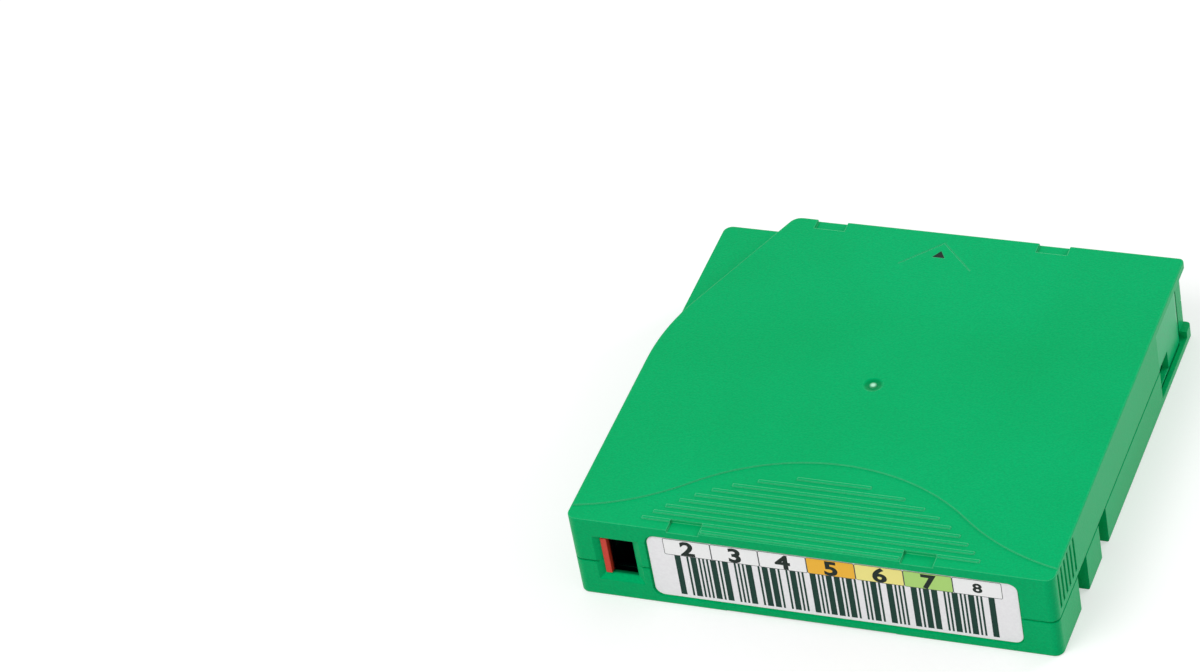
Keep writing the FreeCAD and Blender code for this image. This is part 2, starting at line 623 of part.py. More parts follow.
def make_lower_shell():
    body = new_body("lower_shell")
    upright(body, add_case_outline, "0", "split_height")
    dress(body, "Fillet", "edge_radius", lambda edge: flat_at(edge, 0))
    upright(body, add_seam_ring, "split_height - seam_gap", "split_height", take=True)
    upright(body, add_inner_outline, "floor_thick", "split_height", take=True)
    add_notch_backs(body, "floor_thick / 2", "split_height")
    areas = []
    for near, far in (("notch_one_near", "notch_one_far"), ("notch_two_near", "notch_two_far")):
        areas.append(((f"{HALF_W} - notch_depth", f"{HALF_W} + wall"), (f"-{near}", f"-{far}")))
        areas.append(((f"-{HALF_W} - wall", f"-{HALF_W} + notch_depth"), (f"-{near}", f"-{far}")))
    boxes(body, areas, "-wall", "split_height", take=True)

    rim_top = "floor_thick + rim_rise"
    discs(body, [("reel_x", "reel_y", "(opening_radius + rim_wall)")], "floor_thick / 2", rim_top)
    discs(body, [("reel_x", "reel_y", "opening_radius")], "-wall", rim_top, take=True)

    cut_door_opening(body, "floor_thick", "split_height", "floor_thick - rail_depth", "floor_thick")
    boxes(body, [((POST_FACE, f"{HALF_W} + wall"), (f"{HALF_D} - corner_reach - wall", f"{HALF_D} + wall"))],
          "corner_block", "split_height", take=True)
    add_pin_pocket(body, "floor_thick", "floor_thick + pocket_height")

    discs(body, [(x, y, "screw_boss") for x, y, top in SCREWS], "floor_thick / 2", "split_height")
    locators = [(x, "-locator_y") for x in ("locator_x", "-locator_x")]
    discs(body, [(x, y, "(locator_radius + boss_wall)") for x, y in locators],
          "floor_thick / 2", "locator_depth + boss_wall")
    discs(body, [(x, y, "(screw_shank + fit_gap)") for x, y, top in SCREWS],
          "-wall", "split_height", take=True)
    discs(body, [(x, y, "(screw_head + screw_sunk / 2)") for x, y, top in SCREWS],
          "-wall", "screw_sunk + screw_head_thick", take=True)
    discs(body, [(x, y, "locator_radius") for x, y in locators], "-wall", "locator_depth", take=True)

    # A pair of ribs on each side of the memory chip, and the rail behind the write-protect tab.
    rib_x = "(chip_x + {0} * (chip_width / 2 + fit_gap))"
    spread = "((chip_length * cos(chip_lean) + chip_thick) / 2)"
    areas = [((rib_x.format(-1) + " - chip_rib", rib_x.format(-1)),
              (f"-{HALF_D} + wall / 2", f"-chip_y + {spread}")),
             ((rib_x.format(1), rib_x.format(1) + " + chip_rib"),
              (f"-{HALF_D} + wall / 2", f"-chip_y + {spread}"))]
    boxes(body, areas, "floor_thick / 2", "floor_thick + chip_length * sin(chip_lean)")
    rail = f"(-{INNER_D} + tab_plate + 2 * tab_gap)"
    boxes(body, [(("-near_screw_x", f"{WINDOW_RIGHT} + tab_travel / 2"), (rail, f"{rail} + tab_rail"))],
          "floor_thick / 2", "window_low - tab_gap")

    cut_label_recess(body)
    cut_window(body)
    boxes(body, [(("reel_x - relief_width / 2", "reel_x + relief_width / 2"),
                  (f"-{HALF_D} - wall", f"-{HALF_D} + relief_reach"))], "-wall", "relief_depth", take=True)
    return body


# ---- upper shell -----------------------------------------------------------------------------

def add_grip_outline(sketch):
    """Bell curve across the top: one wide arc between two hollow ones, down to the label face."""
    rise = "(grip_turn_y - grip_apex)"
    dome = f"((grip_turn_x ^ 2 + {rise} ^ 2) / (2 * {rise}))"
    run, drop = f"({HALF_W} + wall - grip_turn_x)", "(grip_side - grip_turn_y)"
    slope = f"asin(grip_turn_x / {dome})"
    hollow = f"(sqrt({run} ^ 2 + {drop} ^ 2) / (2 * sin({slope} - atan({drop} / {run}))))"
    left, right = f"-{HALF_W} - wall", f"{HALF_W} + wall"
    points = [(left, f"-{HALF_D} - wall"), (right, f"-{HALF_D} - wall"), (right, "-grip_side"),
              ("grip_turn_x", "-grip_turn_y"), ("-grip_turn_x", "-grip_turn_y"), (left, "-grip_side")]
    add_outline(sketch, points, {2: (hollow, False), 3: (dome, True), 4: (hollow, False)})


def grip_half_width(distance):
    """Half the grip's width at a distance from the middle, on its wide arc."""
    rise = "(grip_turn_y - grip_apex)"
    dome = f"((grip_turn_x ^ 2 + {rise} ^ 2) / (2 * {rise}))"
    return f"sqrt({dome} ^ 2 - ({dome} - ({distance}) + grip_apex) ^ 2)"


def add_grip_ribs(body):
    """Straight ribs that widen with the grip, then short ones between the edge recesses."""
    low, high = "case_height - grip_depth", "case_height"
    areas = []
    for number in range(round(value("rib_count"))):
        distance = f"(rib_first + {number} * rib_pitch)"
        half = grip_half_width(f"{distance} - rib_apex_gap")
        areas.append(((f"-({half})", half), (f"-{distance} - rib_width / 2", f"-{distance} + rib_width / 2")))
    for number in range(round(value("short_rib_count"))):
        distance = f"(rib_first + (rib_count + {number}) * rib_pitch)"
        areas.append((("reel_x - short_rib_half", "reel_x + short_rib_half"),
                      (f"-{distance} - rib_width / 2", f"-{distance} + rib_width / 2")))
    boxes(body, areas, low, high)


def add_chevron(sketch):
    """Two fine lines at 45 degrees that meet ahead of the arrow."""
    base = "(chevron_tip - chevron_half)"
    points = [("0", "chevron_tip"), ("-chevron_half", base), ("-chevron_half", f"{base} - chevron_line"),
              ("0", "chevron_tip - chevron_line"), ("chevron_half", f"{base} - chevron_line"),
              ("chevron_half", base)]
    add_outline(sketch, points)


def add_arrow(sketch):
    base = "arrow_tip - arrow_length"
    add_outline(sketch, [("0", "arrow_tip"), ("-arrow_width / 2", base), ("arrow_width / 2", base)])


def make_upper_shell():
    body = new_body("upper_shell")
    upright(body, add_case_outline, "split_height", STEP)
    upright(body, lambda sketch: add_top_outline(sketch, HALF_W, HALF_D), STEP, "case_height")
    dress(body, "Fillet", "edge_radius", lambda edge: flat_at(edge, value("case_height")))
    dress(body, "Chamfer", "seam_bevel", lambda edge: flat_at(edge, value("split_height")))
    upright(body, add_inner_outline, "split_height", STEP_ROOF, take=True)
    upright(body, lambda sketch: add_top_outline(sketch, INNER_W, INNER_D), STEP_ROOF, ROOF, take=True)

    cut_door_opening(body, "split_height", ROOF, ROOF, f"{ROOF} + rail_depth")
    boxes(body, [((POST_FACE, f"{HALF_W} + wall"), (f"{HALF_D} - corner_reach - wall", f"{HALF_D} + wall"))],
          "split_height", ROOF, take=True)
    add_pin_pocket(body, f"{ROOF} - pocket_height", ROOF)
    for x, y, top in SCREWS:
        discs(body, [(x, y, "screw_boss")], "split_height", f"{top} + wall / 2")
        discs(body, [(x, y, "(screw_shank + fit_gap)")], "split_height",
              f"min({SCREW_TIP} + tab_gap; {top})", take=True)

    # The stop that the door spring pushes against.
    boxes(body, [(("coil_x - coil_radius - coil_wire", f"{INNER_W} + wall / 2"),
                  (f"{COIL_STOP} - stop_thick", COIL_STOP))],
          "coil_height - coil_radius - hook_length", f"{ROOF} + roof_thick / 2")

    # The cross-shaped post that keeps the brake from turning.
    bar, thin = "key_length / 2", "key_width / 2"
    boxes(body, [(("reel_x - " + bar, "reel_x + " + bar), ("reel_y - " + thin, "reel_y + " + thin))],
          POST_LOW, f"{ROOF} + roof_thick / 2")
    boxes(body, [(("reel_x - " + thin, "reel_x + " + thin), ("reel_y - " + bar, "reel_y + " + bar))],
          POST_LOW, f"{ROOF} + roof_thick / 2")

    upright(body, add_grip_outline, "case_height - grip_depth", "case_height", take=True)
    add_grip_ribs(body)
    areas = []
    for side in ("-", "+"):
        middle = f"(reel_x {side} recess_spacing / 2)"
        across = (f"{middle} - recess_width / 2", f"{middle} + recess_width / 2")
        areas.append((across, (f"-{HALF_D} - wall", f"-{HALF_D} + recess_reach")))
        areas.append((across, (f"{HALF_D} - recess_reach", f"{HALF_D} + wall")))
    boxes(body, areas, "case_height - recess_depth", "case_height", take=True)
    upright(body, add_arrow, "case_height - arrow_depth", "case_height", take=True)
    upright(body, add_chevron, "case_height - chevron_depth", "case_height", take=True)
    dimple = discs(body, [("reel_x", "reel_y", "gate_radius")],
                   "case_height - gate_depth", "case_height", take=True)
    dimple.setExpression("TaperAngle", bound("-gate_slope"))
    discs(body, [("reel_x", "reel_y", "gate_nub")],
          "case_height - roof_thick / 2", "case_height - gate_depth / 3")

    areas = []
    for number in range(round(value("groove_count"))):
        along = f"(-groove_first + {number} * groove_pitch)"
        reach = (f"{along} - groove_width / 2", f"{along} + groove_width / 2")
        areas.append(((f"{HALF_W} - groove_depth", f"{HALF_W} + wall"), reach))
        areas.append(((f"-{HALF_W} - wall", f"-{HALF_W} + groove_depth"), reach))
    boxes(body, areas, "groove_low", "groove_high", take=True)
    cut_label_recess(body)
    cut_window(body)
    return body


# ---- door, tab and label ---------------------------------------------------------------------

def add_door_outline(sketch):
    """Flat plate whose far end curls inwards."""
    curl_in = "(door_curl / 2)"
    bend = "((door_curl ^ 2 + (door_curl / 2) ^ 2) / door_curl)"
    points = [(DOOR_BACK, DOOR_TAIL), (DOOR_FACE, DOOR_TAIL), (DOOR_FACE, f"{DOOR_END} - door_curl"),
              (f"{DOOR_FACE} - {curl_in}", DOOR_END), (f"{DOOR_BACK} - {curl_in}", DOOR_END),
              (DOOR_BACK, f"{DOOR_END} - door_curl")]
    add_outline(sketch, points, {2: (bend, True), 4: (bend, False)})


def make_door():
    body = new_body("door")
    low, high = "(floor_thick + door_gap)", f"({ROOF} - door_gap)"
    upright(body, add_door_outline, low, high)
    boxes(body, [((DOOR_BACK, DOOR_FACE), (DOOR_TAIL, f"{DOOR_END} - door_curl"))],
          f"{low} - rail_depth", f"{high} + rail_depth")
    pull = ("door_near", "door_near + pull_length")
    top = f"({low} + pull_height)"
    pull_back = f"{DOOR_FACE} - pull_depth"
    boxes(body, [((f"{pull_back} - pull_wall", f"{DOOR_BACK} + door_thick / 2"), pull)], low, top)
    boxes(body, [((pull_back, f"{DOOR_FACE} + wall"), pull)], low, f"{top} - pull_wall", take=True)
    hook = (f"{DOOR_TAIL} - hook_length", DOOR_TAIL)
    boxes(body, [(("coil_x - coil_radius - coil_wire", DOOR_FACE), hook)],
          "coil_height - coil_radius - hook_length", "coil_height + coil_radius + hook_length")
    return body


def make_tab():
    """A ridge that shows in the window, on a plate that hides behind the wall."""
    body = new_body("write_protect_tab")
    ridge = (f"{WINDOW_LEFT} + tab_gap", f"{WINDOW_LEFT} + tab_gap + tab_ridge")
    back = f"(-{INNER_D} + tab_gap)"
    boxes(body, [(ridge, (f"-{HALF_D} + tab_sunk", f"{back} + tab_plate"))],
          "window_low + tab_gap", f"{WINDOW_TOP} - tab_gap")
    boxes(body, [((f"-{INNER_W} + corner_radius", ridge[1]), (back, f"{back} + tab_plate"))],
          "window_low", f"{WINDOW_TOP} - tab_gap")
    return body


def make_label():
    body = new_body("barcode_label")
    sketch = new_sketch(body, "XZ_Plane", f"-{RECESS_FACE}")
    sides = ("(label_centre - label_width / 2)", "(label_centre + label_width / 2)")
    add_rounded(sketch, sides, ("label_low", "(label_low + label_height)"), "label_round")
    grow(body, sketch, "label_thick")
    return body


# ---- reel ------------------------------------------------------------------------------------

def place_on_reel(body):
    place(body, "reel_x", "reel_y", "0")


def make_reel_hub():
    """Hub, floor and lower flange in one moulding, with drive teeth below and brake teeth above."""
    body = new_body("reel_hub")
    inner, spigot = "(hub_radius - hub_wall)", "(hub_radius - hub_wall / 2)"
    spin(body, [("0", WEB_LOW), (inner, WEB_LOW), (inner, REEL_LOW), ("flange_radius", REEL_LOW),
                ("flange_radius", f"{FLANGE_TOP} - flange_thick / 4"), ("hub_radius", FLANGE_TOP),
                ("hub_radius", UPPER_LOW), (spigot, UPPER_LOW),
                (spigot, f"{UPPER_LOW} + flange_thick"), (inner, f"{UPPER_LOW} + flange_thick"),
                (inner, WEB_TOP), ("0", WEB_TOP)])
    place_on_reel(body)
    drive = boxes(body, [(("drive_radius - drive_reach / 2", "drive_radius + drive_reach / 2"),
                          ("-drive_width / 2", "drive_width / 2"))],
                  f"{WEB_LOW} - drive_height", f"{WEB_LOW} + web_thick / 2")
    repeat_round(body, drive, "drive_teeth")
    brake = boxes(body, [(("brake_inner", "brake_inner + brake_reach"),
                          ("-brake_tooth / 2", "brake_tooth / 2"))],
                  f"{WEB_TOP} - web_thick / 2", f"{WEB_TOP} + brake_height")
    repeat_round(body, brake, "brake_teeth")
    leg_hole = discs(body, [("drive_radius", "0", "(leg_radius + leg_gap)")],
                     f"{WEB_LOW} - drive_height - wall", WEB_TOP, take=True)
    repeat_round(body, leg_hole, "3")
    stud = discs(body, [("-stud_circle", "0", "stud_radius")],
                 f"{WEB_LOW} - plate_thick", f"{WEB_LOW} + web_thick / 2")
    repeat_round(body, stud, "3")
    seat = ("hub_radius - clamp_thick", "hub_radius + wall")
    boxes(body, [(("-clamp_width / 2", "clamp_width / 2"), seat)], TAPE_LOW, TAPE_HIGH, take=True)
    return body


def make_upper_flange():
    body = new_body("upper_flange")
    bore = "(hub_radius - hub_wall / 2 + fit_gap)"
    spin(body, [(bore, UPPER_LOW), ("flange_radius", f"{UPPER_LOW} + flange_thick / 4"),
                ("flange_radius", f"{UPPER_LOW} + flange_thick"), (bore, f"{UPPER_LOW} + flange_thick")])
    place_on_reel(body)
    return body


def make_reel_plate():
    body = new_body("reel_plate")
    spin(body, [("plate_bore", f"{WEB_LOW} - plate_thick"), ("plate_radius", f"{WEB_LOW} - plate_thick"),
                ("plate_radius", WEB_LOW), ("plate_bore", WEB_LOW)])
    place_on_reel(body)
    hole = discs(body, [("-stud_circle", "0", "(stud_radius + fit_gap)")],
                 f"{WEB_LOW} - plate_thick - wall", WEB_LOW, take=True)
    repeat_round(body, hole, "3")
    return body


def make_tape_pack():
    body = new_body("tape_pack")
    spin(body, [("hub_radius + fit_gap", TAPE_LOW), ("pack_radius", TAPE_LOW),
                ("pack_radius", TAPE_HIGH), ("hub_radius + fit_gap", TAPE_HIGH)])
    place_on_reel(body)
    return body


def make_tape_clamp():
    """Clip pressed into the hub's wall over the tape's inner end."""
    body = new_body("tape_clamp")
    half = "(clamp_width / 2 - fit_gap)"
    low = "(hub_radius - clamp_thick + fit_gap)"
    crown = f"sqrt(hub_radius ^ 2 - {half} ^ 2)"

    def draw(sketch):
        points = [(f"-{half}", low), (half, low), (half, crown), (f"-{half}", crown)]
        add_outline(sketch, points, {2: ("hub_radius", True)})
    upright(body, draw, f"{TAPE_LOW} + fit_gap", f"{TAPE_HIGH} - fit_gap")
    place_on_reel(body)
    return body


# ---- brake -----------------------------------------------------------------------------------

def make_brake_button():
    """Disc with teeth below that mesh with the hub's, and a keyed boss above."""
    body = new_body("brake_button")
    spin(body, [("0", DISC_LOW), ("brake_radius", DISC_LOW), ("brake_radius", DISC_TOP),
                ("socket_radius", DISC_TOP), ("socket_radius", SOCKET_TOP), ("0", SOCKET_TOP)])
    place_on_reel(body)
    half_pitch = "(180 / brake_teeth)"
    inner, outer, half = "brake_inner", "(brake_inner + brake_reach)", "(brake_tooth / 2)"

    def turned(along, across):
        return (f"({along}) * cos({half_pitch}) - ({across}) * sin({half_pitch})",
                f"({along}) * sin({half_pitch}) + ({across}) * cos({half_pitch})")
    corners = [turned(inner, f"-{half}"), turned(outer, f"-{half}"), turned(outer, half), turned(inner, half)]
    tooth = upright(body, lambda sketch: add_outline(sketch, corners),
                    f"{DISC_LOW} - brake_height", f"{DISC_LOW} + brake_thick / 2")
    repeat_round(body, tooth, "brake_teeth")
    bar, thin = "(key_length / 2 + key_gap)", "(key_width / 2 + key_gap)"
    boxes(body, [((f"-{bar}", bar), (f"-{thin}", thin))], DISC_TOP, SOCKET_TOP, take=True)
    boxes(body, [((f"-{thin}", thin), (f"-{bar}", bar))], DISC_TOP, SOCKET_TOP, take=True)
    return body


def make_release_pad():
    """Ring with three legs that reach down between the drive teeth."""
    body = new_body("release_pad")
    low = f"({WEB_TOP} + mesh_gap)"
    spin(body, [("pad_inner", low), ("pad_outer", low), ("pad_outer", f"{low} + pad_thick"),
                ("pad_inner", f"{low} + pad_thick")])
    place_on_reel(body)
    leg = discs(body, [("drive_radius", "0", "leg_radius")],
                f"{WEB_LOW} - drive_height + mesh_gap", f"{low} + pad_thick / 2")
    repeat_round(body, leg, "3")
    return body


def make_coil(label, radius, wire, turns, length):
    """Compression spring along its own Z axis, from the middle of the wire's first turn.

    The wire goes round in short straight lengths, and the turn at each end lies closed."""
    radius, wire, length = value(radius), value(wire), value(length)
    turns, bends, sides = round(value(turns)), round(value("coil_bends")), round(value("wire_sides"))
    closed = 2.1 * wire
    live = (length - 2 * closed) / (turns - 2)
    upward = FreeCAD.Vector(0, 0, 1)
    rings = []
    for step in range(turns * bends + 1):
        turn = step / bends
        rise = closed * (min(turn, 1) + max(turn - turns + 1, 0)) + live * min(max(turn - 1, 0), turns - 2)
        outward = FreeCAD.Vector(math.cos(2 * math.pi * turn), math.sin(2 * math.pi * turn), 0)
        centre = outward * radius + upward * rise
        ring = []
        for side in range(sides):
            angle = 2 * math.pi * side / sides
            ring.append(centre + outward * (wire * math.cos(angle)) + upward * (wire * math.sin(angle)))
        rings.append(ring)
    faces = [Part.Face(Part.makePolygon(ring + ring[:1])) for ring in (rings[0], rings[-1])]
    for ring, following in zip(rings, rings[1:]):
        for side in range(sides):
            beside = (side + 1) % sides
            for corners in ((ring[side], following[side], following[beside]),
                            (ring[side], following[beside], ring[beside])):
                faces.append(Part.Face(Part.makePolygon([*corners, corners[0]])))
    spring = doc.addObject("Part::Feature", label)
    spring.Label = label
    solid = Part.Solid(Part.Shell(faces))
    if solid.Volume < 0:
        solid.reverse()
    spring.Shape = solid
    return spring


def make_brake_spring():
    height = f"({ROOF} - {DISC_TOP} - 2 * spring_wire - 2 * fit_gap)"
    spring = make_coil("brake_spring", "spring_radius", "spring_wire", "spring_turns", height)
    place(spring, "reel_x", "reel_y", f"{DISC_TOP} + spring_wire + fit_gap")
    return spring


def make_door_spring():
    spring = make_coil("door_spring", "coil_radius", "coil_wire", "coil_turns", "coil_length")
    spring.Placement = FreeCAD.Placement(FreeCAD.Vector(), FreeCAD.Rotation(FreeCAD.Vector(1, 0, 0), 90))
    place(spring, "coil_x", COIL_START, "coil_height")
    return spring


# ---- leader pin ------------------------------------------------------------------------------

def place_on_pin(body):
    place(body, "pin_x", "pin_y", "0")


def make_leader_pin():
    body = new_body("leader_pin")
    spin(body, [("0", PIN_LOW), ("pin_head", PIN_LOW), ("pin_head", f"{PIN_LOW} + pin_head_thick"),
                ("pin_radius", f"{PIN_LOW} + pin_head_thick * 1.5"),
                ("pin_radius", f"{PIN_HIGH} - pin_head_thick * 1.5"),
                ("pin_head", f"{PIN_HIGH} - pin_head_thick"), ("pin_head", PIN_HIGH), ("0", PIN_HIGH)])
    place_on_pin(body)
    return body


def make_pin_clip():
    """C-shaped clip over the tape on the pin, open towards the reel."""
    body = new_body("leader_pin_clip")
    inner = "(pin_radius + fit_gap)"
    outer = f"({inner} + clip_thick)"
    low, high = f"{TAPE_LOW} + pin_head_thick", f"{TAPE_HIGH} - pin_head_thick"
    discs(body, [("0", "0", outer)], low, high)
    discs(body, [("0", "0", inner)], low, high, take=True)
    boxes(body, [((f"-{outer} - wall", "-pin_radius / 3"), ("-pin_radius * 0.8", "pin_radius * 0.8"))],
          low, high, take=True)
    place_on_pin(body)
    return body


def make_tape_leader():
    """Free run of tape from where it leaves the full pack to the clip on the pin."""
    body = new_body("tape_leader")
    reach = "sqrt((pin_x - reel_x) ^ 2 + (pin_y - reel_y) ^ 2)"
    around = "(pack_radius + leader_gap)"
    aim = "atan((pin_y - reel_y) / (pin_x - reel_x))"
    leave = f"({aim} - acos(({around} - pin_radius - clip_thick - leader_gap) / {reach}))"

    def from_axis(x, y, distance):
        return f"{x} + ({distance}) * cos{leave}", f"{y} + ({distance}) * sin{leave}"
    on_pin = "(pin_radius + clip_thick + leader_gap)"
    points = [from_axis("reel_x", "reel_y", around),
              from_axis("reel_x", "reel_y", f"{around} + leader_thick"),
              from_axis("pin_x", "pin_y", f"{on_pin} + leader_thick"),
              from_axis("pin_x", "pin_y", on_pin)]
    upright(body, lambda sketch: add_outline(sketch, points), TAPE_LOW, TAPE_HIGH)
    return body


def make_pin_spring(label, low):
    """Bent leaf that presses the pin's head into its pocket."""
    body = new_body(label)
    wall_side = "(pin_head + pocket_gap + pocket_wall + fit_gap)"
    near, far = "(0 - leaf_shift - leaf_length / 2)", "(leaf_length / 2 - leaf_shift)"
    points = [(f"-{wall_side}", near), (f"-{wall_side}", far),
              (f"-{wall_side} - leaf_thick", far), (f"-{wall_side} - leaf_thick", near)]
    upright(body, lambda sketch: add_outline(sketch, points), low, f"{low} + leaf_height")
    place_on_pin(body)
    return body


# ---- small parts -----------------------------------------------------------------------------

def make_screw(number, x, y):
    body = new_body(f"case_screw_{number}")
    head_top = "(screw_sunk + screw_head_thick)"
    tip = SCREW_TIP
    spin(body, [("0", "screw_sunk"), ("screw_head", "screw_sunk"), ("screw_head", head_top),
                ("screw_shank", head_top), ("screw_shank", f"{tip} - screw_shank"), ("0", tip)])
    place(body, x, y, "0")
    bar, thin = "(screw_head * 0.55)", "(screw_head * 0.14)"
    low, high = "screw_sunk - wall", "screw_sunk + screw_head_thick / 2"
    boxes(body, [((f"-{bar}", bar), (f"-{thin}", thin))], low, high, take=True)
    boxes(body, [((f"-{thin}", thin), (f"-{bar}", bar))], low, high, take=True)
    return body


def make_memory_chip():
    """Flat chip that leans between its ribs."""
    body = new_body("memory_chip")
    boxes(body, [(("-chip_width / 2", "chip_width / 2"), ("-chip_length / 2", "chip_length / 2"))],
          "-chip_thick / 2", "chip_thick / 2")
    lean = FreeCAD.Rotation(FreeCAD.Vector(1, 0, 0), -value("chip_lean"))
    body.Placement = FreeCAD.Placement(FreeCAD.Vector(), lean)
    rise = "((chip_length * sin(chip_lean) + chip_thick * cos(chip_lean)) / 2)"
    place(body, "chip_x", "-chip_y", f"floor_thick + {rise} + fit_gap")
    return body


parts = [
    make_lower_shell(), make_upper_shell(), make_door(), make_tab(), make_label(),
    make_reel_hub(), make_upper_flange(), make_reel_plate(), make_tape_pack(), make_tape_clamp(),
    make_brake_button(), make_release_pad(), make_brake_spring(), make_door_spring(),
    make_leader_pin(), make_pin_clip(), make_tape_leader(),
    make_pin_spring("pin_spring_lower", "(floor_thick + fit_gap)"),
    make_pin_spring("pin_spring_upper", f"({ROOF} - leaf_height - fit_gap)"),
    make_memory_chip(),
]
parts += [make_screw(number, x, y) for number, (x, y, top) in enumerate(SCREWS, start=1)]
doc.recompute()

for item in doc.Objects:
    if "Invalid" in item.State or "Error" in item.State:
        raise RuntimeError(f"{item.Name} ({item.Label}) failed: {item.State}")
for item in parts:
    if item.Shape.isNull() or not item.Shape.isValid():
        raise RuntimeError(f"{item.Label} has no valid shape")

os.makedirs("parts", exist_ok=True)
for item in parts:
    item.Shape.exportStep(f"parts/{item.Label}.step")
    print(item.Label, round(item.Shape.Volume, 2), len(item.Shape.Solids))
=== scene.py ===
import math

import bpy
from mathutils import Matrix, Vector


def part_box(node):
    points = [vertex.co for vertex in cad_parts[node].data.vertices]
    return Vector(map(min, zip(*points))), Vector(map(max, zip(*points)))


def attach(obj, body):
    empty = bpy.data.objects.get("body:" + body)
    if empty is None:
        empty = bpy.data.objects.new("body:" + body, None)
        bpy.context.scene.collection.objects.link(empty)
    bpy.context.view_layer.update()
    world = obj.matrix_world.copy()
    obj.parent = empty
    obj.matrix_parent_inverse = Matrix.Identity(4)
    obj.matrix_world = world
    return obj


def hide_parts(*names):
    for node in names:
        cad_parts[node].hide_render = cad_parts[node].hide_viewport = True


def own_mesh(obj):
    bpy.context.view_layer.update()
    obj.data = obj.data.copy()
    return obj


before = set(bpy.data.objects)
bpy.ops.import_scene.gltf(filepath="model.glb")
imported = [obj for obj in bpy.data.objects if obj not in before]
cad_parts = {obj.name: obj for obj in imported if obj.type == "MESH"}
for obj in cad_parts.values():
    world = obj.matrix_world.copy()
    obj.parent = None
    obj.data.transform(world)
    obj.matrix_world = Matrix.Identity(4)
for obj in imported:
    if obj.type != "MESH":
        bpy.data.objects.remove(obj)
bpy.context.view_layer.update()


# ---- lower shell -------------------------------------------------------------------------------
# The bottom half of the case: ABS and polycarbonate blend, injection moulded in a tool with a fine
# spark-eroded skin. It reads as an even, saturated green with a matte grain, a soft sheen at
# grazing angles and softly rounded edges.

MM = 0.001
CASE_GREEN = "#00ae68"
CASE_GREEN_WARM = "#00a962"
CASE_ROUGHNESS = 0.38
CASE_SHEEN = 0.12
SHEEN_TINT = "#2fd0a0"      # the pigment tints what the skin mirrors head on
PLASTIC_IOR = 1.5
GRAIN = 0.45 * MM           # the real grain is near 0.1 mm; coarser here so that it shows
GRAIN_HEIGHT = 0.06 * MM
GRAIN_SPECK = 0.08          # the pits hold a little shade, so the grain shows as specks too
DULL_SPREAD = 0.06          # the pits are this much rougher than the middle, the peaks smoother
SINK_SIZE = 45 * MM         # slow waves where the thick ribs behind the wall cooled later
EDGE_ROUND = 0.28 * MM


def linear(colour):
    """An sRGB hex colour as the linear values a colour socket holds."""
    shares = [int(colour[i : i + 2], 16) / 255 for i in (1, 3, 5)]
    curve = [s / 12.92 if s <= 0.04045 else ((s + 0.055) / 1.055) ** 2.4 for s in shares]
    return (*curve, 1)


def new_material(name):
    """An empty node material."""
    material = bpy.data.materials.new(name)
    material.use_nodes = True
    material.node_tree.nodes.clear()
    return material


def add_node(material, kind, values=None, links=None, **settings):
    """Adds one node, with its settings, its sockets' values and the sockets that feed it."""
    node = material.node_tree.nodes.new(kind)
    for name, setting in settings.items():
        setattr(node, name, setting)
    for socket, value in (values or {}).items():
        node.inputs[socket].default_value = value
    for socket, source in (links or {}).items():
        material.node_tree.links.new(source, node.inputs[socket])
    return node


def set_stops(ramp, stops):
    """Puts colour stops, as (place, colour), on a colour ramp."""
    for element, (place, colour) in zip(ramp.color_ramp.elements, stops):
        element.position = place
        element.color = linear(colour)


def moulded_plastic(name, colour, second_colour, roughness, sheen_level,
                    grain=GRAIN, height=GRAIN_HEIGHT, tint="#ffffff"):
    """Moulded plastic with an eroded grain, slow colour drift and softly rounded edges."""
    plastic = new_material(name)
    place = add_node(plastic, "ShaderNodeTexCoord").outputs["Object"]
    drift = add_node(
        plastic, "ShaderNodeTexNoise", {"Scale": 1 / SINK_SIZE, "Detail": 2.0}, {"Vector": place}
    )
    tone = add_node(plastic, "ShaderNodeValToRGB", links={"Fac": drift.outputs["Fac"]})
    set_stops(tone, [(0.35, second_colour), (0.65, colour)])
    speck = add_node(
        plastic, "ShaderNodeTexNoise", {"Scale": 1 / grain, "Detail": 3.0}, {"Vector": place}
    )
    pits = add_node(
        plastic, "ShaderNodeMapRange",
        {"From Min": 0.3, "From Max": 0.7, "To Min": 1 - GRAIN_SPECK, "To Max": 1 + GRAIN_SPECK},
        {"Value": speck.outputs["Fac"]},
    )
    speckled = add_node(
        plastic, "ShaderNodeHueSaturation",
        links={"Value": pits.outputs["Result"], "Color": tone.outputs["Color"]},
    )
    dull = add_node(
        plastic, "ShaderNodeMapRange",
        {"To Min": roughness - DULL_SPREAD, "To Max": roughness + DULL_SPREAD},
        {"Value": speck.outputs["Fac"]},
    )
    edge = add_node(
        plastic, "ShaderNodeBevel", {"Radius": EDGE_ROUND}, samples=6, name="rounded_edge"
    )
    bump = add_node(
        plastic, "ShaderNodeBump", {"Strength": 1.0, "Distance": height},
        {"Height": speck.outputs["Fac"], "Normal": edge.outputs["Normal"]},
    )
    skin = add_node(
        plastic, "ShaderNodeBsdfPrincipled",
        {"IOR": PLASTIC_IOR, "Specular IOR Level": sheen_level, "Specular Tint": linear(tint)},
        {
            "Base Color": speckled.outputs["Color"],
            "Roughness": dull.outputs["Result"],
            "Normal": bump.outputs["Normal"],
        },
        name="skin",
    )
    add_node(plastic, "ShaderNodeOutputMaterial", links={"Surface": skin.outputs["BSDF"]})
    return plastic


def give_finish(material, *parts):
    """Puts a material on every slot of these CAD parts."""
    for part in parts:
        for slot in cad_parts[part].material_slots:
            slot.material = material


case_plastic = moulded_plastic(
    "case_abs_green", CASE_GREEN, CASE_GREEN_WARM, CASE_ROUGHNESS, CASE_SHEEN, tint=SHEEN_TINT
)
give_finish(case_plastic, "lower_shell")


# ---- memory chip -------------------------------------------------------------------------------
# A small circuit board with its aerial loop, leaning in a slot at the label end: glass epoxy under
# green solder mask, with the etched copper tracks showing through as fine paler lines.

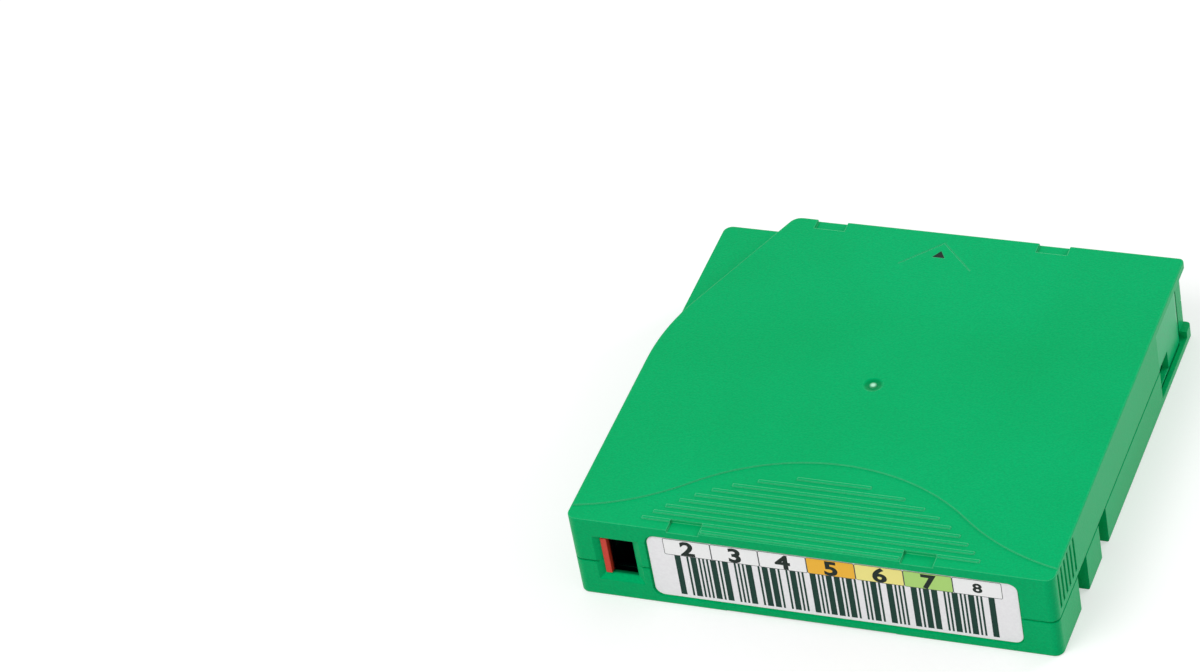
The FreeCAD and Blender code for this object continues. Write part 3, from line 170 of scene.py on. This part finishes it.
TRACK_PITCH = 0.8 * MM
WAVE_BAND = 0.314    # a wave texture of scale 1 repeats after this length

board = new_material("chip_solder_mask")
board_place = add_node(board, "ShaderNodeTexCoord").outputs["Object"]
tracks = add_node(
    board, "ShaderNodeTexWave", {"Scale": WAVE_BAND / TRACK_PITCH, "Distortion": 0.0},
    {"Vector": board_place}, bands_direction="X",
)
mask = add_node(board, "ShaderNodeValToRGB", links={"Fac": tracks.outputs["Fac"]})
set_stops(mask, [(0.55, "#0c3a26"), (0.7, "#2c6b45")])
lacquer = add_node(
    board, "ShaderNodeBsdfPrincipled", {"Roughness": 0.28, "IOR": 1.5},
    {"Base Color": mask.outputs["Color"]},
)
add_node(board, "ShaderNodeOutputMaterial", links={"Surface": lacquer.outputs["BSDF"]})
give_finish(board, "memory_chip")


# ---- reel --------------------------------------------------------------------------------------
# The hub with its lower flange, the upper flange welded on to it, and the clamp for the tape's end:
# natural glass-filled polycarbonate, off-white, moulded smooth so that the tape slides on it.

REEL_AXIS = (-1.4 * MM, 0, 0)

reel_plastic = moulded_plastic(
    "reel_polycarbonate", "#dfe1dc", "#d6d9d3", 0.36, 0.4, grain=0.8 * MM, height=0.01 * MM
)
give_finish(reel_plastic, "reel_hub", "upper_flange", "tape_clamp")


# ---- drive plate -------------------------------------------------------------------------------
# The ring that the drive's magnet holds: stainless steel, blanked and turned, with the fine
# circles that the tool leaves round its axis.

TURNING_PITCH = 0.25 * MM    # real feed marks are finer; this coarse to show
ROUND_Z = (1, 1, 0)          # leaves out the height, so that the rings run round an upright axis
ALONG_Z = (0, 0, 1)          # leaves out the rest, so that they turn to bands along it


def turned_steel(name, colour, dark, pitch, roughness, centre=(0, 0, 0), spread=ROUND_Z):
    """Bare steel with the fine marks of turning, grinding or drawing."""
    steel = new_material(name)
    place = add_node(steel, "ShaderNodeTexCoord").outputs["Object"]
    centred = add_node(
        steel, "ShaderNodeMapping",
        {"Location": tuple(-c * s for c, s in zip(centre, spread)), "Scale": spread},
        {"Vector": place},
    )
    marks = add_node(
        steel, "ShaderNodeTexWave",
        {"Scale": WAVE_BAND / pitch, "Distortion": 0.6, "Detail": 2.0, "Detail Scale": 2.0},
        {"Vector": centred.outputs["Vector"]}, wave_type="RINGS", rings_direction="SPHERICAL",
    )
    shade = add_node(steel, "ShaderNodeValToRGB", links={"Fac": marks.outputs["Fac"]})
    set_stops(shade, [(0.2, dark), (0.8, colour)])
    worn = add_node(
        steel, "ShaderNodeMapRange", {"To Min": roughness - 0.05, "To Max": roughness + 0.08},
        {"Value": marks.outputs["Fac"]},
    )
    bump = add_node(
        steel, "ShaderNodeBump", {"Strength": 0.3, "Distance": 0.01 * MM},
        {"Height": marks.outputs["Fac"]},
    )
    metal = add_node(
        steel, "ShaderNodeBsdfPrincipled", {"Metallic": 1.0},
        {
            "Base Color": shade.outputs["Color"],
            "Roughness": worn.outputs["Result"],
            "Normal": bump.outputs["Normal"],
        },
    )
    add_node(steel, "ShaderNodeOutputMaterial", links={"Surface": metal.outputs["BSDF"]})
    return steel


plate_steel = turned_steel(
    "drive_plate_stainless", "#c9c8c4", "#a9a8a5", TURNING_PITCH, 0.3, centre=REEL_AXIS
)
give_finish(plate_steel, "reel_plate")


# ---- tape --------------------------------------------------------------------------------------
# Half-inch polyester film with a metal particle coat, wound edge on edge. The pack's flat side is a
# near-black brown with the faint rings of the windings; its face shines like lacquer.

WINDING_PITCH = 0.5 * MM    # the film is 0.006 mm thick; drawn as bands of many turns

tape = new_material("coated_polyester_film")
tape_place = add_node(tape, "ShaderNodeTexCoord").outputs["Object"]
tape_centred = add_node(
    tape, "ShaderNodeMapping", {"Location": (-REEL_AXIS[0], 0, 0), "Scale": ROUND_Z},
    {"Vector": tape_place},
)
windings = add_node(
    tape, "ShaderNodeTexWave",
    {"Scale": WAVE_BAND / WINDING_PITCH, "Distortion": 1.0, "Detail": 3.0},
    {"Vector": tape_centred.outputs["Vector"]}, wave_type="RINGS", rings_direction="SPHERICAL",
)
tape_shade = add_node(tape, "ShaderNodeValToRGB", links={"Fac": windings.outputs["Fac"]})
set_stops(tape_shade, [(0.2, "#17110e"), (0.8, "#2c221c")])
film = add_node(
    tape, "ShaderNodeBsdfPrincipled", {"Roughness": 0.22, "IOR": 1.6},
    {"Base Color": tape_shade.outputs["Color"]},
)
add_node(tape, "ShaderNodeOutputMaterial", links={"Surface": film.outputs["BSDF"]})
give_finish(tape, "tape_pack", "tape_leader")


# ---- reel brake --------------------------------------------------------------------------------
# The toothed brake button, the release pad whose legs lift it off the hub, and the leader pin's
# clip: acetal, a waxy cream and, for the pad, black, both straight off the tool with no paint.

ACETAL_GRAIN = 0.9 * MM
ACETAL_HEIGHT = 0.008 * MM

button_acetal = moulded_plastic(
    "brake_acetal_cream", "#d9d7cb", "#cfcdc0", 0.34, 0.45, grain=ACETAL_GRAIN, height=ACETAL_HEIGHT
)
pad_acetal = moulded_plastic(
    "pad_acetal_black", "#2a2b2d", "#232426", 0.36, 0.45, grain=ACETAL_GRAIN, height=ACETAL_HEIGHT
)
give_finish(button_acetal, "brake_button", "leader_pin_clip")
give_finish(pad_acetal, "release_pad")


# ---- leader pin and screws ---------------------------------------------------------------------
# The ground steel pin that the drive's grabber takes, with a leaf spring bent from strip at each
# end, and four zinc-plated screws. The strip is greyer than the pin; zinc has a faint blue cast.

wire_steel = turned_steel(
    "spring_music_wire", "#a7a7a6", "#8d8d8c", 0.6 * MM, 0.3, spread=ALONG_Z
)
pin_steel = turned_steel("pin_ground_steel", "#cfcfcd", "#b4b4b2", 0.3 * MM, 0.2, spread=ALONG_Z)
screw_zinc = turned_steel("screw_zinc_plate", "#bfc3c8", "#a4a8ae", 0.5 * MM, 0.3, spread=ALONG_Z)
give_finish(wire_steel, "pin_spring_lower", "pin_spring_upper")
give_finish(pin_steel, "leader_pin")
give_finish(screw_zinc, "case_screw_1", "case_screw_2", "case_screw_3", "case_screw_4")


# ---- brake spring and door spring --------------------------------------------------------------
# Coils of drawn music wire, wound cold: a wide one that presses the brake on to the hub, and a thin
# one along the right wall that closes the door.

BRAKE_WIRE = 0.45 * MM     # radius of the wire, here and below
BRAKE_TURNS = 6
DOOR_WIRE = 0.2 * MM
DOOR_TURNS = 14
WIRE_SIDES = 12
STEPS_A_TURN = 28
WELD = 0.001 * MM
CUT_ANGLE = 50             # degrees; the cut end of the wire stays sharp, its side is smooth


def start_piece(name):
    """Names the primitive just added, and leaves only it selected."""
    piece = bpy.context.active_object
    piece.name = name
    bpy.ops.object.select_all(action="DESELECT")
    piece.select_set(True)
    return piece


def settle(piece):
    """Moves a piece's place, turn and size into its mesh, so that its object sits at the origin."""
    bpy.ops.object.select_all(action="DESELECT")
    piece.select_set(True)
    bpy.context.view_layer.objects.active = piece
    bpy.ops.object.transform_apply(location=True, rotation=True, scale=True)


def wind_coil(name, radius, wire, turns, length):
    """A coil of round wire that stands on the origin: a disc of the wire, screwed round Z."""
    bpy.ops.object.select_all(action="DESELECT")
    bpy.ops.mesh.primitive_circle_add(
        vertices=WIRE_SIDES, radius=wire, location=(radius, 0, wire), rotation=(math.pi / 2, 0, 0)
    )
    coil = start_piece(name)
    settle(coil)
    wind = coil.modifiers.new("wind", "SCREW")
    wind.screw_offset = (length - 2 * wire) / turns
    wind.iterations = turns
    wind.steps = wind.render_steps = STEPS_A_TURN
    bpy.ops.object.modifier_apply(modifier=wind.name)
    bpy.ops.object.mode_set(mode="EDIT")
    bpy.ops.mesh.select_mode(type="VERT")
    bpy.ops.mesh.select_all(action="SELECT")
    bpy.ops.mesh.remove_doubles(threshold=WELD)
    bpy.ops.mesh.fill_holes(sides=0)
    bpy.ops.mesh.select_all(action="SELECT")
    bpy.ops.mesh.normals_make_consistent(inside=False)
    bpy.ops.object.mode_set(mode="OBJECT")
    bpy.ops.object.shade_smooth_by_angle(angle=math.radians(CUT_ANGLE))
    coil.data.materials.append(wire_steel)
    return coil


def seat_coil(coil, node):
    """Lets a coil stand for its CAD spring: hides the spring and hangs the coil on the case."""
    settle(coil)
    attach(coil, "case")
    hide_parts(node)
    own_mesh(coil)


low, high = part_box("brake_spring")
length = high.z - low.z
brake_coil = wind_coil(
    "brake_coil", (high.x - low.x) / 2 - BRAKE_WIRE, BRAKE_WIRE, BRAKE_TURNS, length
)
brake_coil.location = (REEL_AXIS[0], REEL_AXIS[1], low.z)
seat_coil(
    brake_coil, "brake_spring",
)

low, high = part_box("door_spring")
length = high.y - low.y
fixed_end = ((low.x + high.x) / 2, low.y, (low.z + high.z) / 2)
door_coil = wind_coil(
    "door_coil", (high.x - low.x) / 2 - DOOR_WIRE, DOOR_WIRE, DOOR_TURNS, length
)
door_coil.rotation_euler = (-math.pi / 2, 0, 0)
door_coil.location = fixed_end
seat_coil(
    door_coil, "door_spring",
)


# ---- door --------------------------------------------------------------------------------------
# The sliding door at the far right corner: the same blend as the case, from a smoother tool so that
# it slides. Its base colour is a paler copy of the case green, painted light for its brighter side
# face.

door_plastic = moulded_plastic(
    "door_abs_green", "#08b470", "#06ae6a", 0.32, 0.3,
    grain=0.6 * MM, height=0.02 * MM, tint=SHEEN_TINT,
)
give_finish(door_plastic, "door")


# ---- write-protect tab -------------------------------------------------------------------------
# A red acetal slider behind the small window beside the label, smooth off the tool. Its thumb ridge
# stands in the window's light; the deep shade behind it is painted into the colour of case and tab.

TAB_RED = "#d8402c"
TAB_RED_WARM = "#cb3826"
ROOM_BEHIND_WINDOW = [    # low and high corners in mm: the window's throat, then the room behind it
    ((-46.3, -50.2, 5.9), (-38.7, -36, 16.3)),
    ((-50, -49.6, 1.5), (-35, -36, 16.3)),
]
BACK_OF_TAB = [((-46.3, -49.5, 5.9), (-38.7, -36, 16.3))]
SHADE_EDGE = 0.5 * MM


def lay_over(plastic, share, colour):
    """Lays another colour over a plastic's own, by a share from 0 to 1."""
    skin = plastic.node_tree.nodes["skin"]
    under = skin.inputs["Base Color"].links[0].from_socket
    both = add_node(
        plastic, "ShaderNodeMix", {7: linear(colour)}, {0: share, 6: under}, data_type="RGBA"
    )
    plastic.node_tree.links.new(both.outputs[2], skin.inputs["Base Color"])


def shade_room(plastic, boxes, shade):
    """Paints shade into a plastic's colour inside boxes that light doesn't reach, with a soft edge.
    """
    place = add_node(plastic, "ShaderNodeTexCoord").outputs["Object"]
    for low, high in boxes:
        middle = tuple((a + b) / 2 * MM for a, b in zip(low, high))
        half = tuple((b - a) / 2 * MM for a, b in zip(low, high))
        from_middle = add_node(
            plastic, "ShaderNodeVectorMath", {1: middle}, {0: place}, operation="SUBTRACT"
        )
        reach = add_node(
            plastic, "ShaderNodeVectorMath", links={0: from_middle.outputs["Vector"]},
            operation="ABSOLUTE",
        )
        past = add_node(
            plastic, "ShaderNodeVectorMath", {1: half}, {0: reach.outputs["Vector"]},
            operation="SUBTRACT",
        )
        sides = add_node(plastic, "ShaderNodeSeparateXYZ", links={"Vector": past.outputs["Vector"]})
        flat = add_node(
            plastic, "ShaderNodeMath", links={0: sides.outputs["X"], 1: sides.outputs["Y"]},
            operation="MAXIMUM",
        )
        outside = add_node(
            plastic, "ShaderNodeMath", links={0: flat.outputs["Value"], 1: sides.outputs["Z"]},
            operation="MAXIMUM",
        )
        dark = add_node(
            plastic, "ShaderNodeMapRange", {"From Min": 0.0, "From Max": -SHADE_EDGE},
            {"Value": outside.outputs["Value"]},
        )
        lay_over(plastic, dark.outputs["Result"], shade)


tab_plastic = moulded_plastic(
    "tab_acetal_red", TAB_RED, TAB_RED_WARM, 0.33, 0.3, grain=0.8 * MM, height=ACETAL_HEIGHT
)
# Painted shade: near black laid over the back of the tab and the case walls in the window's throat
# and the room behind it
shade_room(tab_plastic, BACK_OF_TAB, "#120303")
shade_room(case_plastic, ROOM_BEHIND_WINDOW, "#000504")
give_finish(tab_plastic, "write_protect_tab")


# ---- upper shell -------------------------------------------------------------------------------
# The top half of the case, of the same blend as the lower one. Along its edges and grip ribs a
# paler green is painted on as a fine highlight line. In its middle the runner broke off and left a
# smooth well, painted a darker green as shade, and a stub painted a paler green.

PAINTED_HIGHLIGHT_GREEN = "#7ce8b4"
PAINTED_HIGHLIGHT_SHARE = 0.68              # share of the paler green on the edge that catches most light
PAINTED_HIGHLIGHT_AWAY = 0.5                # and how much of that the edges on the other side get
LIT_SIDE = (-0.25, 0.95, 0.2)
TOP_LOW = 18.5 * MM           # the lines fade in between these heights
TOP_HIGH = 19.5 * MM
WELL_SHADE_GREEN = "#008f50"
WELL_RADIUS = 2.1 * MM
STUB_GREEN = "#b4f0cf"
STUB_RADIUS = 0.8 * MM
GATE_FADE = 0.5 * MM

give_finish(case_plastic, "upper_shell")

place = add_node(case_plastic, "ShaderNodeTexCoord").outputs["Object"]
height = add_node(case_plastic, "ShaderNodeSeparateXYZ", links={"Vector": place})
on_top = add_node(
    case_plastic, "ShaderNodeMapRange", {"From Min": TOP_LOW, "From Max": TOP_HIGH},
    {"Value": height.outputs["Z"]},
)

seen_flat = add_node(
    case_plastic, "ShaderNodeVectorMath", {1: ROUND_Z}, {0: place}, operation="MULTIPLY"
)
from_gate = add_node(
    case_plastic, "ShaderNodeVectorMath", {1: REEL_AXIS}, {0: seen_flat.outputs["Vector"]},
    operation="DISTANCE",
)
# Painted shade: the well of the gate's dish is laid over with a darker green; the stub in its
# middle is laid over with a paler green
for radius, colour in ((WELL_RADIUS, WELL_SHADE_GREEN), (STUB_RADIUS, STUB_GREEN)):
    near_gate = add_node(
        case_plastic, "ShaderNodeMapRange", {"From Min": radius, "From Max": radius - GATE_FADE},
        {"Value": from_gate.outputs["Value"]},
    )
    gate_paint_share = add_node(
        case_plastic, "ShaderNodeMath",
        links={0: near_gate.outputs["Result"], 1: on_top.outputs["Result"]}, operation="MULTIPLY",
    )
    lay_over(case_plastic, gate_paint_share.outputs["Value"], colour)

# Painted highlight: a paler green laid along the top's rounded edges and grip ribs, stronger where
# the rounded edge faces LIT_SIDE, a fixed side that doesn't follow the lamps
rounded = case_plastic.node_tree.nodes["rounded_edge"].outputs["Normal"]
true_side = add_node(case_plastic, "ShaderNodeNewGeometry").outputs["Normal"]
even = add_node(
    case_plastic, "ShaderNodeVectorMath", links={0: rounded, 1: true_side}, operation="DOT_PRODUCT"
)
rim = add_node(
    case_plastic, "ShaderNodeMapRange", {"From Min": 0.995, "From Max": 0.9, "To Max": PAINTED_HIGHLIGHT_SHARE},
    {"Value": even.outputs["Value"]},
)
facing = add_node(
    case_plastic, "ShaderNodeVectorMath", {1: LIT_SIDE}, {0: rounded}, operation="DOT_PRODUCT"
)
lit_side_share = add_node(
    case_plastic, "ShaderNodeMapRange", {"From Min": 0.0, "From Max": 0.4, "To Min": PAINTED_HIGHLIGHT_AWAY},
    {"Value": facing.outputs["Value"]},
)
top_painted_highlight = add_node(
    case_plastic, "ShaderNodeMath", links={0: rim.outputs["Result"], 1: on_top.outputs["Result"]},
    operation="MULTIPLY",
)
painted_highlight = add_node(
    case_plastic, "ShaderNodeMath", links={0: top_painted_highlight.outputs["Value"], 1: lit_side_share.outputs["Result"]},
    operation="MULTIPLY",
)
lay_over(case_plastic, painted_highlight.outputs["Value"], PAINTED_HIGHLIGHT_GREEN)


# ---- loading arrow -----------------------------------------------------------------------------
# A shallow triangular recess near the top's far edge, filled with black pad-printing ink, which
# dries matte and a little mottled.

ARROW_TIP_Y = 44.8 * MM
ARROW_LENGTH = 2.3 * MM
ARROW_WIDTH = 2.9 * MM
ARROW_DEPTH = 0.1 * MM
INK_FILM = 0.02 * MM
INK_ROUGHNESS = 0.45
MOTTLE_SIZE = 1.2 * MM


def printing_ink(name, colour):
    """A thin, dense print with a little mottle, as pad and thermal printing leave."""
    ink = new_material(name)
    place = add_node(ink, "ShaderNodeTexCoord").outputs["Object"]
    mottle = add_node(
        ink, "ShaderNodeTexNoise", {"Scale": 1 / MOTTLE_SIZE, "Detail": 2.0}, {"Vector": place}
    )
    bump = add_node(
        ink, "ShaderNodeBump", {"Strength": 0.2, "Distance": 0.01 * MM},
        {"Height": mottle.outputs["Fac"]},
    )
    dull = add_node(
        ink, "ShaderNodeMapRange",
        {"To Min": INK_ROUGHNESS - 0.08, "To Max": INK_ROUGHNESS + 0.08},
        {"Value": mottle.outputs["Fac"]},
    )
    film = add_node(
        ink, "ShaderNodeBsdfPrincipled",
        {"Base Color": linear(colour), "IOR": 1.5, "Specular IOR Level": 0.2},
        {"Roughness": dull.outputs["Result"], "Normal": bump.outputs["Normal"]},
    )
    add_node(ink, "ShaderNodeOutputMaterial", links={"Surface": film.outputs["BSDF"]})
    return ink


def thicken(piece, thickness, offset):
    """Gives a flat piece its thickness, to one side or the other of its faces."""
    solid = piece.modifiers.new("thickness", "SOLIDIFY")
    solid.thickness = thickness
    solid.offset = offset
    bpy.context.view_layer.objects.active = piece
    bpy.ops.object.modifier_apply(modifier=solid.name)


black_ink = printing_ink("print_ink_black", "#10211a")
case_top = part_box("upper_shell")[1].z

# a triangle drawn in a circle of radius 1 is 1.5 high and the root of 3 wide
bpy.ops.object.select_all(action="DESELECT")
bpy.ops.mesh.primitive_circle_add(
    vertices=3, radius=1, fill_type="NGON",
    location=(0, ARROW_TIP_Y - ARROW_LENGTH * 2 / 3, case_top - ARROW_DEPTH + INK_FILM),
)
arrow = start_piece("arrow_ink")
arrow.scale = (ARROW_WIDTH / math.sqrt(3), ARROW_LENGTH / 1.5, 1)
settle(arrow)
thicken(arrow, INK_FILM, -1)
arrow.data.materials.append(black_ink)
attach(arrow, "case")


# ---- bar-code label ----------------------------------------------------------------------------
# Coated paper with a thin gloss laminate, stuck in the recess at the near end. Thermal printing has
# put seven character cells on it, some with a pale colour field, and a row of dark bars below.

PAPER_WHITE = "#faf9fb"
PAPER_THIN = "#f4f2f5"
PAPER_FIBRE = 0.7 * MM     # paper formation is about this size seen against the light
LABEL_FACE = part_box("barcode_label")[0].y

paper = new_material("label_coated_paper")
paper_place = add_node(paper, "ShaderNodeTexCoord").outputs["Object"]
formation = add_node(
    paper, "ShaderNodeTexNoise", {"Scale": 1 / PAPER_FIBRE, "Detail": 4.0}, {"Vector": paper_place}
)
paper_tone = add_node(paper, "ShaderNodeValToRGB", links={"Fac": formation.outputs["Fac"]})
set_stops(paper_tone, [(0.3, PAPER_THIN), (0.7, PAPER_WHITE)])
cockle = add_node(
    paper, "ShaderNodeBump", {"Strength": 0.15, "Distance": 0.02 * MM},
    {"Height": formation.outputs["Fac"]},
)
laminate = add_node(
    paper, "ShaderNodeBsdfPrincipled", {"Roughness": 0.3, "IOR": 1.5, "Specular IOR Level": 0.4},
    {"Base Color": paper_tone.outputs["Color"], "Normal": cockle.outputs["Normal"]},
)
add_node(paper, "ShaderNodeOutputMaterial", links={"Surface": laminate.outputs["BSDF"]})
give_finish(paper, "barcode_label")

CELL_FIRST = -31.7 * MM
CELL_PITCH = 10.45 * MM
CELL_LOW = 14.1 * MM
CELL_TOP = 18.55 * MM
CELL_ROUND = 0.4 * MM
CELL_LINE = 0.13 * MM
WHITE_FIELD = "#fdfdfd"
FIELD_COLOURS = [
    WHITE_FIELD, WHITE_FIELD, WHITE_FIELD, "#fcbf3f", "#fcf091", "#b5e07c", WHITE_FIELD
]
CELL_MIDDLES = [CELL_FIRST + (order + 0.5) * CELL_PITCH for order in range(len(FIELD_COLOURS))]

field_inks = {
    colour: printing_ink(f"label_field_{number}", colour)
    for number, colour in enumerate(dict.fromkeys(FIELD_COLOURS), 1)
}
line_ink = printing_ink("label_line_grey", "#4b4f50")


def stand_up(piece, x, y, z):
    """Stands a flat piece up at the label's face, with its front towards the near side."""
    piece.rotation_euler = (math.pi / 2, 0, 0)
    piece.location = (x, y, z)
    settle(piece)


bpy.ops.object.select_all(action="DESELECT")
bpy.ops.mesh.primitive_plane_add(size=1)
first_cell = start_piece("label_cell_1")
first_cell.scale = (CELL_PITCH, CELL_TOP - CELL_LOW, 1)
settle(first_cell)
bpy.ops.object.mode_set(mode="EDIT")
bpy.ops.mesh.select_all(action="SELECT")
bpy.ops.mesh.bevel(offset=CELL_ROUND, segments=4, affect="VERTICES")
bpy.ops.mesh.select_mode(type="FACE")
bpy.ops.mesh.select_all(action="SELECT")
bpy.ops.mesh.inset(thickness=CELL_LINE)
bpy.ops.object.mode_set(mode="OBJECT")
first_cell.data.materials.append(line_ink)
first_cell.data.materials.append(field_inks[WHITE_FIELD])
for face in first_cell.data.polygons:
    face.material_index = 1 if face.select else 0

cells = [first_cell]
for number in range(2, len(FIELD_COLOURS) + 1):
    cell = bpy.data.objects.new(f"label_cell_{number}", first_cell.data.copy())
    bpy.context.scene.collection.objects.link(cell)
    cells.append(cell)

for cell, colour, middle in zip(cells, FIELD_COLOURS, CELL_MIDDLES):
    cell.data.materials[1] = field_inks[colour]
    stand_up(cell, middle, LABEL_FACE, (CELL_LOW + CELL_TOP) / 2)
    thicken(cell, INK_FILM, 1)
    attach(cell, "case")

DIGIT_SIZE = 5.2 * MM
DIGIT_RISE = 0.35 * MM     # above the cell's lower line
DIGIT_SWELL = 0.2 * MM     # thickens the strokes on every side, for a bold figure
DIGIT_BREADTH = 1.2
LAST_SIZE = 3.4 * MM
LAST_RISE = 1.035 * MM
LAST_SWELL = 0.12 * MM
CURVE_STEPS = 6

for order, middle in enumerate(CELL_MIDDLES):
    size, rise, swell = DIGIT_SIZE, DIGIT_RISE, DIGIT_SWELL
    if order == len(CELL_MIDDLES) - 1:
        size, rise, swell = LAST_SIZE, LAST_RISE, LAST_SWELL
    bpy.ops.object.select_all(action="DESELECT")
    bpy.ops.object.text_add()
    digit = start_piece(f"label_digit_{order + 1}")
    digit.data.body = str(order + 2)
    digit.data.size = size
    digit.data.align_x = "CENTER"
    digit.data.resolution_u = CURVE_STEPS
    digit.data.bevel_depth = swell
    digit.data.bevel_resolution = 0
    bpy.ops.object.convert(target="MESH")
    digit = bpy.context.active_object
    digit.scale = (DIGIT_BREADTH, 1, INK_FILM / DIGIT_SWELL / 2)
    stand_up(digit, middle, LABEL_FACE - INK_FILM, CELL_LOW + rise)
    digit.data.materials.append(black_ink)
    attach(digit, "case")

BAR_START = -29.6 * MM
BAR_END = 39.6 * MM
BAR_LOW = 3.1 * MM
BAR_GROUPS = 10
GROUP_BARS = 5
WIDE = 3    # a wide bar or gap, in narrow ones

columns = []    # one for each narrow width, true where it is ink
for group in range(BAR_GROUPS):
    widths = [1] * (2 * GROUP_BARS - 1)
    for wide_bar in (group % GROUP_BARS, (group + 2) % GROUP_BARS):
        widths[2 * wide_bar] = WIDE
    widths[2 * (group * 3 % (GROUP_BARS - 1)) + 1] = WIDE
    for order, width in enumerate(widths):
        columns += [order % 2 == 0] * width
    columns.append(False)
columns.pop()

bpy.ops.object.select_all(action="DESELECT")
bpy.ops.mesh.primitive_grid_add(x_subdivisions=len(columns), y_subdivisions=1, size=1)
bars = start_piece("label_bars")
for face in bars.data.polygons:
    column = int((face.center.x + 0.5) * len(columns))
    face.select = not columns[column]
bpy.ops.object.mode_set(mode="EDIT")
bpy.ops.mesh.select_mode(type="FACE")
bpy.ops.mesh.delete(type="FACE")
bpy.ops.object.mode_set(mode="OBJECT")
bars.scale = (BAR_END - BAR_START, CELL_LOW - BAR_LOW, 1)
stand_up(bars, (BAR_START + BAR_END) / 2, LABEL_FACE, (BAR_LOW + CELL_LOW) / 2)
thicken(bars, INK_FILM, 1)
bars.data.materials.append(printing_ink("label_bar_ink", "#00362a"))
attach(bars, "case")


# ---- floor and light ---------------------------------------------------------------------------
# A wide, plain white floor, an even pale sky, one large soft lamp above the near left and a small
# one beyond the far right, so that the top is brightest and the case stands in a soft shadow.

FLOOR_WHITE = "#cccccc"
FLOOR_LIFT = 0.47
FLOOR_WIDTH = 30
SKY_ON_OBJECT = 0.62
SKY_SEEN = 1.0


def looked_at(material):
    """1 for rays from the camera or off a mirror or through glass, 0 for light on the object."""
    rays = add_node(material, "ShaderNodeLightPath")
    direct = add_node(
        material, "ShaderNodeMath",
        links={0: rays.outputs["Is Camera Ray"], 1: rays.outputs["Is Glossy Ray"]},
        operation="MAXIMUM",
    )
    seen = add_node(
        material, "ShaderNodeMath",
        links={0: direct.outputs["Value"], 1: rays.outputs["Is Transmission Ray"]},
        operation="MAXIMUM",
    )
    return seen.outputs["Value"]


def add_lamp(name, place, size, energy):
    """A square soft box that faces the case."""
    bpy.ops.object.light_add(type="AREA", location=place)
    lamp = bpy.context.active_object
    lamp.name = name
    lamp.data.size = size
    lamp.data.energy = energy
    lamp.rotation_euler = (-Vector(place)).to_track_quat("-Z", "Y").to_euler()


floor_white = new_material("floor_white")
lift = add_node(
    floor_white, "ShaderNodeMath", {1: FLOOR_LIFT}, {0: looked_at(floor_white)},
    operation="MULTIPLY",
)
matte = add_node(floor_white, "ShaderNodeBsdfDiffuse", {"Color": linear(FLOOR_WHITE)})
glow = add_node(floor_white, "ShaderNodeEmission", links={"Strength": lift.outputs["Value"]})
both = add_node(
    floor_white, "ShaderNodeAddShader",
    links={0: matte.outputs["BSDF"], 1: glow.outputs["Emission"]},
)
add_node(floor_white, "ShaderNodeOutputMaterial", links={"Surface": both.outputs["Shader"]})

bpy.ops.object.select_all(action="DESELECT")
bpy.ops.mesh.primitive_plane_add(size=FLOOR_WIDTH)
floor = start_piece("floor")
floor.data.materials.append(floor_white)

sky = bpy.data.worlds.new("pale_sky")
bpy.context.scene.world = sky
sky.use_nodes = True
sky.node_tree.nodes.clear()
strength = add_node(
    sky, "ShaderNodeMapRange", {"To Min": SKY_ON_OBJECT, "To Max": SKY_SEEN},
    {"Value": looked_at(sky)},
)
air = add_node(
    sky, "ShaderNodeBackground", {"Color": (1, 1, 1, 1)}, {"Strength": strength.outputs["Result"]}
)
add_node(sky, "ShaderNodeOutputWorld", links={"Surface": air.outputs["Background"]})

add_lamp("near_soft_box", (-0.5, -0.85, 1.2), size=0.8, energy=10)
add_lamp("far_edge_lamp", (0.95, 1.03, 0.55), size=0.4, energy=7)


# ---- camera ------------------------------------------------------------------------------------
# A long lens above the near right corner, tipped a little to one side.

CAMERA_AT = Vector((0.3134, -0.7258, 0.6980))
LOOK = Vector((-0.3554, 0.6859, -0.6350)).normalized()
UP = Vector((-0.1104, 0.6438, 0.7572))
LENS = 147.87
SENSOR_WIDTH = 36

right = LOOK.cross(UP).normalized()
up = right.cross(LOOK)
turn = Matrix((right, up, -LOOK)).transposed().to_4x4()
bpy.ops.object.camera_add()
camera = bpy.context.active_object
camera.name = "camera"
camera.data.lens = LENS
camera.data.sensor_width = SENSOR_WIDTH
camera.matrix_world = Matrix.Translation(CAMERA_AT) @ turn
bpy.context.scene.camera = camera

bpy.context.scene.view_settings.view_transform = "Standard"
